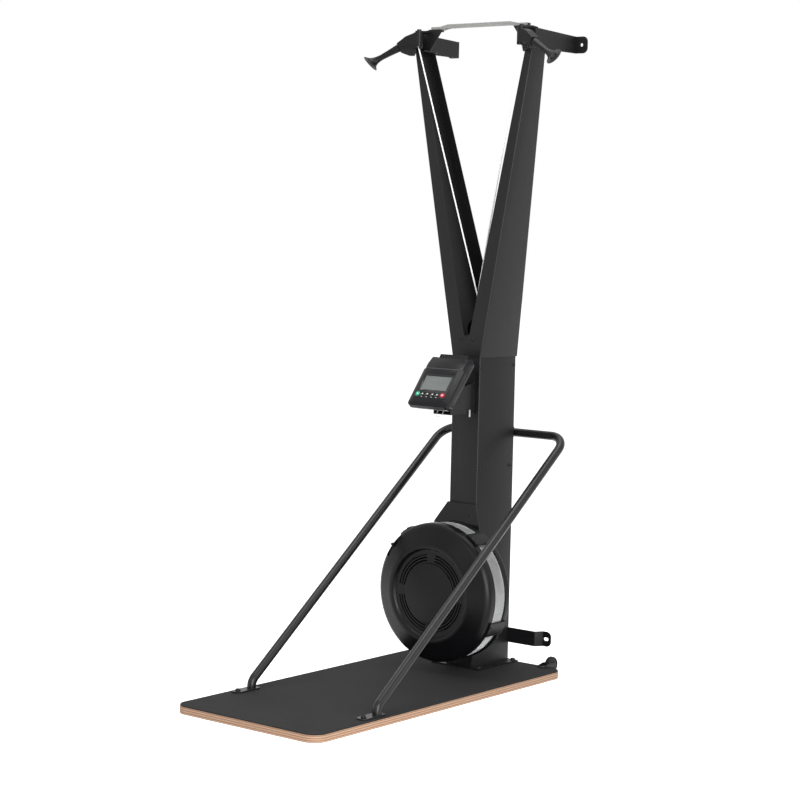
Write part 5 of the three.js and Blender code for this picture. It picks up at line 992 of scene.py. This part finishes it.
def add_clip_bolts():
    """Two small bolts through the front edge of each clip, into the cover's rim."""
    for i, angle in enumerate(CLIP_ANGLES):
        node = f"fan_clip_{i + 1}"
        turn = radians(angle)
        outward = Vector((cos(turn), 0, sin(turn)))
        along = Vector((-sin(turn), 0, cos(turn)))
        centre = Vector((0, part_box(node)[0].y + CLIP_BOLT_INSET, FAN_HEIGHT))
        crest = max((vert.co - centre).dot(outward) for vert in nodes[node].data.vertices)
        for k, side in enumerate((-1, 1)):
            place = centre + outward * crest + along * (side * CLIP_BOLT_OFFSET)
            add_bolt(f"clip_{i + 1}_bolt_{k + 1}", place, outward, CLIP_BOLT_SIZE)


def dress_fan():
    for i in range(len(CLIP_ANGLES)):
        softened(f"fan_clip_{i + 1}", MOULDED, CLIP_EDGE, CLIP_EDGE_SEGMENTS)
    softened("damper_ring", MOULDED, MOULDED_EDGE)
    softened("fan_wheel", MOULDED, THIN_EDGE)
    add_clip_bolts()
    add_cover()
    add_notch_floor()
    add_pan()
    add_mesh_band()


# Heads, cords and handles
def head_matrix(side):
    turn = -HEAD_REST_TURN if side > 0 else FULL_TURN / 2 + HEAD_REST_TURN
    return Matrix.Translation((side * HEAD_X, HEAD_Y, 0)) @ Matrix.Rotation(radians(turn), 4, "Z")


def handle_matrix(side):
    """From a line along +Y to the handle's line, which starts where the cord leaves the pulley."""
    angle = radians(HANDLE_ANGLE)
    run_off = (
        HEAD_PULLEY_RUN * (1 + sin(angle)), 0, HEAD_PULLEY_Z + HEAD_PULLEY_RUN * cos(angle),
    )
    return (
        head_matrix(side) @ Matrix.Translation(run_off) @ Matrix.Rotation(angle, 4, "Y")
        @ Matrix.Rotation(-pi / 2, 4, "Z")
    )


def mouth_lean(point):
    """How far along the handle its slanted mouth carries a point of the bell."""
    across = point.x * sin(HANDLE_MOUTH_TURN) + point.z * cos(HANDLE_MOUTH_TURN)
    return across * tan(HANDLE_MOUTH_TILT)


def slant_mouth(bm, bell_start, bell_end):
    """Leans the bell's mouth over, more and more from the grip to the rim."""
    for vert in bm.verts:
        if hypot(vert.co.x, vert.co.z) >= KNOT_RADIUS + HANDLE_RIM / 2:
            share = min(max((vert.co.y - bell_start) / (bell_end - bell_start), 0), 1)
            vert.co.y += mouth_lean(vert.co) * share


def add_handle(name, side):
    start = HANDLE_START
    end = HANDLE_END
    bell_start = start + HANDLE_LENGTH * HANDLE_GRIP_SHARE
    bell_end = end - HANDLE_RIM
    outline = [
        (HANDLE_BORE_RADIUS, start), (HANDLE_TIP_RADIUS - HANDLE_RIM, start),
        (HANDLE_TIP_RADIUS, start + HANDLE_RIM),
        ((HANDLE_TIP_RADIUS + HANDLE_GRIP_RADIUS) / 2, start + HANDLE_LENGTH * HANDLE_NECK_SHARE),
    ]
    flare = HANDLE_BELL_RADIUS - HANDLE_GRIP_RADIUS
    for length_share, flare_share in HANDLE_BELL_SHARES:
        radius = HANDLE_GRIP_RADIUS + flare * flare_share
        outline.append((radius, bell_start + (bell_end - bell_start) * length_share))
    outline += [
        (HANDLE_BELL_RADIUS, end), (HANDLE_BELL_RADIUS - HANDLE_RIM, end),
        (KNOT_RADIUS + HANDLE_RIM, end - HANDLE_MOUTH_DEPTH), (KNOT_RADIUS + KNOT_ROOM, end - KNOT_DEPTH),
        (HANDLE_BORE_RADIUS, end - KNOT_DEPTH),
    ]
    bm = lathe(filleted(outline, HANDLE_FILLET, steps=6, closed=True), steps=72)
    slant_mouth(bm, bell_start, bell_end)
    bm.transform(handle_matrix(side))
    piece = object_from_bmesh(name + "_handle.round", bm, BELL_SMOOTH_ANGLE)
    dress(piece, name + "_grip", GRIP_PLASTIC, name + "_handle")
    add_mouth_plug(name, side)


def add_mouth_plug(name, side):
    """The dark cap in the handle's mouth, which hides the knot and leans as the mouth does."""
    face = HANDLE_END - PLUG_SINK
    outline = filleted([
        (EYE_RADIUS, face), (PLUG_RADIUS, face), (PLUG_RADIUS, face + PLUG_HEIGHT / 2),
        (PLUG_RADIUS / 2, face + PLUG_HEIGHT), (EYE_RADIUS, face + PLUG_HEIGHT),
    ], PLUG_HEIGHT / 3, steps=4)
    bm = lathe(outline, steps=48, closed=False)
    for vert in bm.verts:
        vert.co.y += mouth_lean(vert.co)
    bm.transform(handle_matrix(side))
    add_piece(name + "_handle.plug", bm, name + "_grip", GRIP_PLASTIC)


def add_handle_cord(name, side):
    """The taut end of cord in the handle, with its knot."""
    end = HANDLE_END - KNOT_DEPTH + GAP + KNOT_RADIUS
    matrix = handle_matrix(side)
    route = [matrix @ Vector((0, end * k / CORD_POINTS, 0)) for k in range(CORD_POINTS + 1)]
    cord = tube(name + "_handle_cord.braid", route, CORD_RADIUS, resolution=5)
    dress(cord, name + "_grip", BRAID, name + "_handle_cord")
    bm = bmesh.new()
    bmesh.ops.create_uvsphere(bm, u_segments=20, v_segments=14, radius=KNOT_BALL_RADIUS)
    for vert in bm.verts:
        twist = KNOT_STRANDS * atan2(vert.co.z, vert.co.x) + KNOT_TWIST * vert.co.y
        vert.co *= 1 + KNOT_RELIEF_SHARE * sin(twist)
    bm.transform(matrix @ Matrix.Translation((0, end, 0)))
    add_piece(name + "_handle_knot", bm, name + "_grip", BRAID)


def add_long_cord(name, side):
    """The cord from its drum over its guide wheel and the pulley of its head."""
    y = GUIDE_Y[name]
    start = Vector((side * HEAD_X, CORD_BEND_Z))
    guide = Vector((0, GUIDE_Z))
    drum = Vector((0, FAN_HEIGHT))
    to_start = start - guide
    open_angle = acos(GUIDE_RUN / to_start.length)
    arrival = Matrix.Rotation(side * open_angle, 2) @ to_start.normalized()
    dip = asin(2 * GUIDE_RUN / (GUIDE_Z - FAN_HEIGHT)) if side > 0 else 0
    departure = Vector((-side * cos(dip), -sin(dip)))
    corner = guide + (arrival + departure) * (GUIDE_RUN / (1 + arrival.dot(departure)))
    end = drum + (-departure if side > 0 else departure) * GUIDE_RUN
    route = bent_route([
        (side * HEAD_X, HEAD_Y, HEAD_PULLEY_Z),
        (side * HEAD_X, HEAD_Y, CORD_BEND_Z),
        (corner.x, y, corner.y),
        (end.x, y, end.y),
    ], [CORD_BEND_RADIUS, GUIDE_RUN], steps=8)
    cord = tube(name + "_cord.braid", route, CORD_RADIUS, resolution=5)
    dress(cord, "frame", BRAID, name + "_cord")


def housing_shape(side):
    """The housing's roof lies close under the tongue, and its belly narrows to a keel."""
    matrix = head_matrix(side)
    inverse = matrix.inverted()
    shoulder_z = HEAD_ROOF_Z - HOUSING_SHOULDER_DROP
    belly_top = HEAD_SKIRT_Z + HOUSING_SLOT_HEIGHT
    keel_length = HOUSING_CHIN_X - HOUSING_SKIRT_LENGTH

    def reshape(point):
        place = inverse @ point
        if place.z > shoulder_z:
            place.z = shoulder_z + (place.z - shoulder_z) * ROOF_SHARE
        if place.z < belly_top and place.x > HOUSING_SKIRT_LENGTH:
            forward = min((place.x - HOUSING_SKIRT_LENGTH) / keel_length, 1)
            down = min((belly_top - place.z) / HOUSING_SLOT_HEIGHT, 1)
            place.y *= 1 - (1 - KEEL_SHARE) * (1 - forward) * down
        return matrix @ place

    return reshape


def add_head_pulley(name, side):
    """A wheel with a round groove for the cord."""
    node = name + "_head_pulley"
    bore = PULLEY_PIN_RADIUS + GAP
    rim = HEAD_PULLEY_RUN + HEAD_PULLEY_FLANGE
    half = HEAD_PULLEY_WIDTH / 2
    groove = CORD_RADIUS + 2 * GAP
    lip = half - groove
    profile = [(bore, -half), (rim, -half), (rim, lip / 2 - half)]
    for k in range(GROOVE_STEPS + 1):
        angle = pi * k / GROOVE_STEPS
        profile.append((HEAD_PULLEY_RUN + CORD_RADIUS - groove * sin(angle), -groove * cos(angle)))
    profile += [(rim, half - lip / 2), (rim, half), (bore, half)]
    bm = lathe(profile, WHEEL_STEPS)
    bm.transform(head_matrix(side) @ Matrix.Translation((HEAD_PULLEY_RUN, 0, HEAD_PULLEY_Z)))
    add_piece(node + ".turned", bm, nodes[node]["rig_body"], BRIGHT_STEEL, node)


def add_heads():
    for name, side in SIDES:
        moulded(name + "_pulley_housing", MOULDED, housing_shape(side))
        add_head_pulley(name, side)
        add_handle(name, side)
        add_handle_cord(name, side)
        add_long_cord(name, side)


# Console
CONSOLE = Matrix.Translation((0, CONSOLE_Y, CONSOLE_Z)) @ Matrix.Rotation(radians(-CONSOLE_TILT), 4, "X")


def around(middle, half):
    """The range that reaches a half to each side of a middle."""
    return (middle - half, middle + half)


def plate(bm, *ranges):
    """A box over the ranges along X, Y and Z."""
    spans = [high - low for low, high in ranges]
    middle = [(low + high) / 2 for low, high in ranges]
    bmesh.ops.create_cube(bm, size=1, matrix=Matrix.Translation(middle) @ Matrix.Diagonal((*spans, 1)))


def add_screen():
    """The display with two rows of blank digits."""
    softened("console_screen", DISPLAY, THIN_EDGE)
    bm = bmesh.new()
    face = (SCREEN_FACE - DIGIT_SINK, SCREEN_FACE + DIGIT_PROUD)
    half_bar = DIGIT_BAR / 2
    middle = DIGIT_HEIGHT / 2
    for z in DIGIT_ROWS_Z:
        for i in range(DIGIT_COUNT):
            x = DIGIT_FIRST_X + i * DIGIT_PITCH
            across = (x + DIGIT_BAR, x + DIGIT_WIDTH - DIGIT_BAR)
            for level in (z, z + middle, z + DIGIT_HEIGHT):
                plate(bm, across, face, around(level, half_bar))
            for edge in (x, x + DIGIT_WIDTH):
                for level in (z, z + middle):
                    upright = (level + DIGIT_BAR, level + middle - DIGIT_BAR)
                    plate(bm, around(edge, half_bar), face, upright)
    bm.transform(CONSOLE)
    add_piece("console_display_segments", bm, "console", SEGMENT)


def button_radius(i):
    return (END_BUTTON_RADIUS if i in (0, BUTTON_COUNT - 1) else BUTTON_RADIUS) - BUTTON_INSET


def button_place(i):
    return Vector((BUTTON_FIRST_X + i * BUTTON_PITCH, 0, BUTTON_ROW_Z))


def add_buttons():
    ends = {0: GREEN, BUTTON_COUNT - 1: RED}
    back = BUTTON_DEPTH - BUTTON_INSET
    for i in range(BUTTON_COUNT):
        radius = button_radius(i)
        profile = filleted([
            (EYE_RADIUS, -BUTTON_PROUD), (radius * BUTTON_CROWN_SHARE, BUTTON_CROWN - BUTTON_PROUD),
            (radius, BUTTON_SHOULDER - BUTTON_PROUD), (radius, back), (EYE_RADIUS, back),
        ], BUTTON_FILLET, steps=4)
        bm = lathe(profile, steps=40, closed=False)
        bm.transform(CONSOLE @ Matrix.Translation(button_place(i)))
        node = f"console_button_{i + 1}"
        add_piece(node + ".round", bm, f"button_{i + 1}", ends.get(i, DARK_BUTTON), node)
        add_mark(i)


def add_mark(i):
    """The plain white sign on a button."""
    x, _, z = button_place(i)
    outline = [(x + a * MARK_SIZE, z + b * MARK_SIZE) for a, b in MARK_SHARES[i]]
    front = -BUTTON_PROUD - MARK_PROUD
    back = -BUTTON_PROUD + MARK_SINK
    bm = skin([[(px, y, pz) for px, pz in outline] for y in (front, back)])
    bm.transform(CONSOLE)
    add_piece(f"console_button_{i + 1}.mark", bm, f"button_{i + 1}", WHITE_MARK)


def case_shape(point):
    """The hood's rear rim has squarer corners than the solid's."""
    place = CONSOLE.inverted() @ point
    side = copysign(1, place.x)
    width = abs(place.x)
    if place.y > HOOD_FRONT_DEPTH and place.z > RIM_CORNER_Z and width > RIM_CORNER_X:
        width = min(width + RIM_CORNER_PUSH, max(width, RIM_HALF))
        place.z = min(place.z + RIM_CORNER_PUSH, max(place.z, RIM_TOP))
    place.x = side * width
    return CONSOLE @ place


def add_hood_step():
    """The rounded step under which the hood leans back, coloured a lighter grey than the case as a painted
    highlight along its edge.
    """
    curve = []
    for k in range(STEP_SEGMENTS + 1):
        angle = pi * k / STEP_SEGMENTS
        depth = STEP_SINK - HOOD_STEP_RADIUS * sin(angle)
        curve.append((depth, HOOD_FOOT + HOOD_STEP_RADIUS * cos(angle)))
    ends = (-HOOD_STEP_HALF, HOOD_STEP_HALF)
    bm = skin([[(x, depth, height) for depth, height in curve] for x in ends])
    bm.transform(CONSOLE)
    add_piece("console_hood_step", bm, "console", HOOD_STEP_PAINTED_HIGHLIGHT)


def add_overlay():
    """The thin dark foil round the screen and the buttons, with a hole for each of them."""
    outline = filleted([
        (-OVERLAY_HALF, OVERLAY_LOW), (OVERLAY_HALF, OVERLAY_LOW),
        (OVERLAY_HALF, OVERLAY_HIGH), (-OVERLAY_HALF, OVERLAY_HIGH),
    ], OVERLAY_CORNER, steps=5, closed=True)
    sections = [[(x, y, z) for x, z in outline] for y in (-OVERLAY_THICKNESS, OVERLAY_THICKNESS)]
    piece = object_from_bmesh("console_overlay", skin(sections))
    tool = bmesh.new()
    plate(tool, around(0, SCREEN_WIDTH / 2), around(0, BUTTON_DEPTH), around(0, SCREEN_HEIGHT / 2))
    carve(piece, object_from_bmesh("window", tool))
    for i in range(BUTTON_COUNT):
        radius = button_radius(i) + BUTTON_CLEARANCE
        tool = bmesh.new()
        bmesh.ops.create_cone(
            tool, cap_ends=True, segments=WHEEL_STEPS, radius1=radius, radius2=radius,
            depth=2 * BUTTON_DEPTH)
        tool.transform(Matrix.Translation(button_place(i)) @ Matrix.Rotation(pi / 2, 4, "X"))
        carve(piece, object_from_bmesh("hole", tool))
    piece.data.transform(CONSOLE)
    dress(piece, "console", OVERLAY)


def add_button_ring(i, name, finish):
    """A flat printed ring round an end button."""
    inner = button_radius(i) + BUTTON_CLEARANCE
    outer = inner + RING_WIDTH
    top = -OVERLAY_THICKNESS - PRINT_THICKNESS
    profile = [(inner, -OVERLAY_THICKNESS), (inner, top), (outer, top), (outer, -OVERLAY_THICKNESS)]
    bm = lathe(profile, WHEEL_STEPS)
    bm.transform(CONSOLE @ Matrix.Translation(button_place(i)))
    add_piece(name, bm, "console", finish)


def add_print():
    """Small plain strokes under the middle buttons."""
    bm = bmesh.new()
    face = (-OVERLAY_THICKNESS - PRINT_THICKNESS, -OVERLAY_THICKNESS)
    for i in range(1, BUTTON_COUNT - 1):
        x = button_place(i).x
        plate(bm, around(x, STROKE_HALF), face, (STROKE_Z, STROKE_Z + STROKE_HEIGHT))
    bm.transform(CONSOLE)
    add_piece("console_print", bm, "console", WHITE_MARK)
    add_button_ring(0, "green_button_ring", GREEN_RING)
    add_button_ring(BUTTON_COUNT - 1, "red_button_ring", RED_RING)


def add_wire_loop():
    """The loop of thin cable that hangs under the case."""
    corners = [CONSOLE @ Vector(corner) for corner in LOOP_CORNERS]
    route = bent_route(corners, [LOOP_BEND] * (len(corners) - 2), steps=8)
    piece = tube("console_cable", route, LOOP_RADIUS, resolution=6)
    dress(piece, "console", CABLE)


def add_cable_clip():
    """The pale clip that holds the cable to the column's front."""
    bm = bmesh.new()
    across = around(CABLE_CLIP_X, CABLE_CLIP_HALF)
    plate(bm, across, (CABLE_CLIP_FACE_Y - CABLE_CLIP_DEPTH, CABLE_CLIP_FACE_Y), CABLE_CLIP_Z)
    piece = object_from_bmesh("cable_clip", bm)
    add_bevel(piece, CABLE_CLIP_EDGE, SOFT_SEGMENTS)
    dress(piece, "frame", CABLE)


def add_console():
    softened("console_case", GLOSS, CASE_EDGE, SOFT_SEGMENTS, case_shape)
    add_hood_step()
    add_overlay()
    add_print()
    add_screen()
    add_buttons()
    add_wire_loop()
    add_cable_clip()


# Drive
def dress_drive():
    for node in ("left_guide_pulley", "right_guide_pulley", "left_cord_drum", "right_cord_drum"):
        softened(node, MOULDED, DRIVE_EDGE)
    for node in (
        "guide_pin", "left_recoil_spring", "right_recoil_spring", "fan_axle", "front_axle_bearing",
        "rear_axle_bearing",
    ):
        softened(node, BRIGHT_STEEL, DRIVE_EDGE)


# Bolts
def add_bolt(name, place, outward, size=SCREW_SIZE):
    """A button head with a hexagon socket, seated on the surface at its place."""
    radius, height = size
    socket = radius * SOCKET_SHARE
    outline = filleted([
        (socket, BOLT_SINK), (radius, BOLT_SINK), (radius, -height * BOLT_SIDE_SHARE),
        (radius * BOLT_CROWN_SHARE, -height), (socket, -height),
    ], radius * BOLT_FILLET_SHARE, steps=4)
    bm = lathe(outline, steps=36, closed=False)
    rim = ring_of(bm, socket, -height, SOCKET_CORNERS)
    floor = ring_of(bm, socket, -height * SOCKET_FLOOR_SHARE, SOCKET_CORNERS)
    bridge(bm, rim, floor)
    bm.faces.new(floor)
    rotation = Vector((0, -1, 0)).rotation_difference(Vector(outward)).to_matrix().to_4x4()
    bm.transform(Matrix.Translation(place) @ rotation)
    add_piece(name, bm, "frame", POWDER_COAT)


def add_bolts():
    for tag, side in SIDES:
        for k, (y, z) in enumerate(COLUMN_BOLTS):
            add_bolt(f"{tag}_column_bolt_{k + 1}", (side * COLUMN_HALF, y, z), (side, 0, 0))
        x, y, z = GUIDE_BOLT
        add_bolt(f"{tag}_guide_bolt", (side * x, y, z), (0, -1, 0))
        x, y, z = FAN_BRACKET_BOLT
        add_bolt(f"{tag}_fan_bracket_bolt", (side * x, y, z), FAN_BRACKET_SLOPE)
        for k, y in enumerate(FOOT_BOLTS_Y):
            place = (side * FOOT_BOLT_X, y, FOOT_BOLT_Z)
            add_bolt(f"{tag}_foot_bolt_{k + 1}", place, (0, 0, 1), ANCHOR_SIZE)
        place = (side * BRACE_HALF_SPAN, BRACE_FOOT_Y - SHOE_BOLT_OFFSET, FOOT_BOLT_Z)
        add_bolt(f"{tag}_shoe_bolt", place, (0, 0, 1), ANCHOR_SIZE)


# Camera, background and lamps
def add_camera():
    azimuth = radians(CAMERA_AZIMUTH)
    pitch = radians(CAMERA_PITCH)
    roll = radians(CAMERA_ROLL)
    forward = Vector((-sin(azimuth) * cos(pitch), cos(azimuth) * cos(pitch), -sin(pitch)))
    right = Vector((cos(azimuth), sin(azimuth), 0))
    up = right.cross(forward)
    rolled_right = right * cos(roll) + up * sin(roll)
    rolled_up = up * cos(roll) - right * sin(roll)
    data = bpy.data.cameras.new("photo_camera")
    data.sensor_width = CAMERA_SENSOR
    data.lens = CAMERA_LENS
    data.clip_end = CAMERA_REACH
    camera = new_object("photo_camera", data)
    rotation = Matrix((rolled_right, rolled_up, -forward)).transposed()
    camera.matrix_world = Matrix.Translation(CAMERA_PLACE) @ rotation.to_4x4()
    bpy.context.scene.camera = camera


def seen_directly(shader):
    """1 for rays from the camera and in reflections, 0 for the light that falls on things."""
    path = add_node(shader, "LightPath")
    total = path.outputs["Is Camera Ray"]
    for name in ("Is Glossy Ray", "Is Transmission Ray"):
        adder = add_node(shader, "Math", operation="MAXIMUM")
        link(total, adder.inputs[0])
        link(path.outputs[name], adder.inputs[1])
        total = adder.outputs["Value"]
    return total


def add_world():
    world = bpy.data.worlds.new("studio")
    bpy.context.scene.world = world
    world.use_nodes = True
    background = world.node_tree.nodes["Background"]
    background.inputs["Color"].default_value = (1, 1, 1, 1)
    link(between(seen_directly(background), WORLD_LIGHT, 1), background.inputs["Strength"])


def add_floor():
    """A white sweep that keeps a faint shadow of the machine."""
    bm = bmesh.new()
    bmesh.ops.create_grid(bm, x_segments=1, y_segments=1, size=FLOOR_SIZE)
    floor = object_from_bmesh("studio_floor", bm)
    material, shader = shader_of("studio_floor", FLOOR_COLOR, roughness=1, specular=0)
    shader.inputs["Emission Color"].default_value = (1, 1, 1, 1)
    link(between(seen_directly(shader), 0, FLOOR_GLOW), shader.inputs["Emission Strength"])
    floor.data.materials.append(material)


def add_lamp(name, place, target, size, power):
    data = bpy.data.lights.new(name, "AREA")
    data.shape = "RECTANGLE"
    data.size, data.size_y = size
    data.energy = power
    lamp = new_object(name, data)
    direction = Vector(target) - Vector(place)
    lamp.matrix_world = Matrix.Translation(place) @ direction.to_track_quat("-Z", "Y").to_matrix().to_4x4()


def main():
    add_camera()
    add_world()
    add_floor()
    for lamp in LAMPS:
        add_lamp(*lamp)
    dress_frame()
    add_brace()
    add_platform()
    add_rollers()
    dress_fan()
    dress_drive()
    add_heads()
    add_console()
    add_bolts()
    bpy.context.scene.view_settings.view_transform = "Standard"


main()
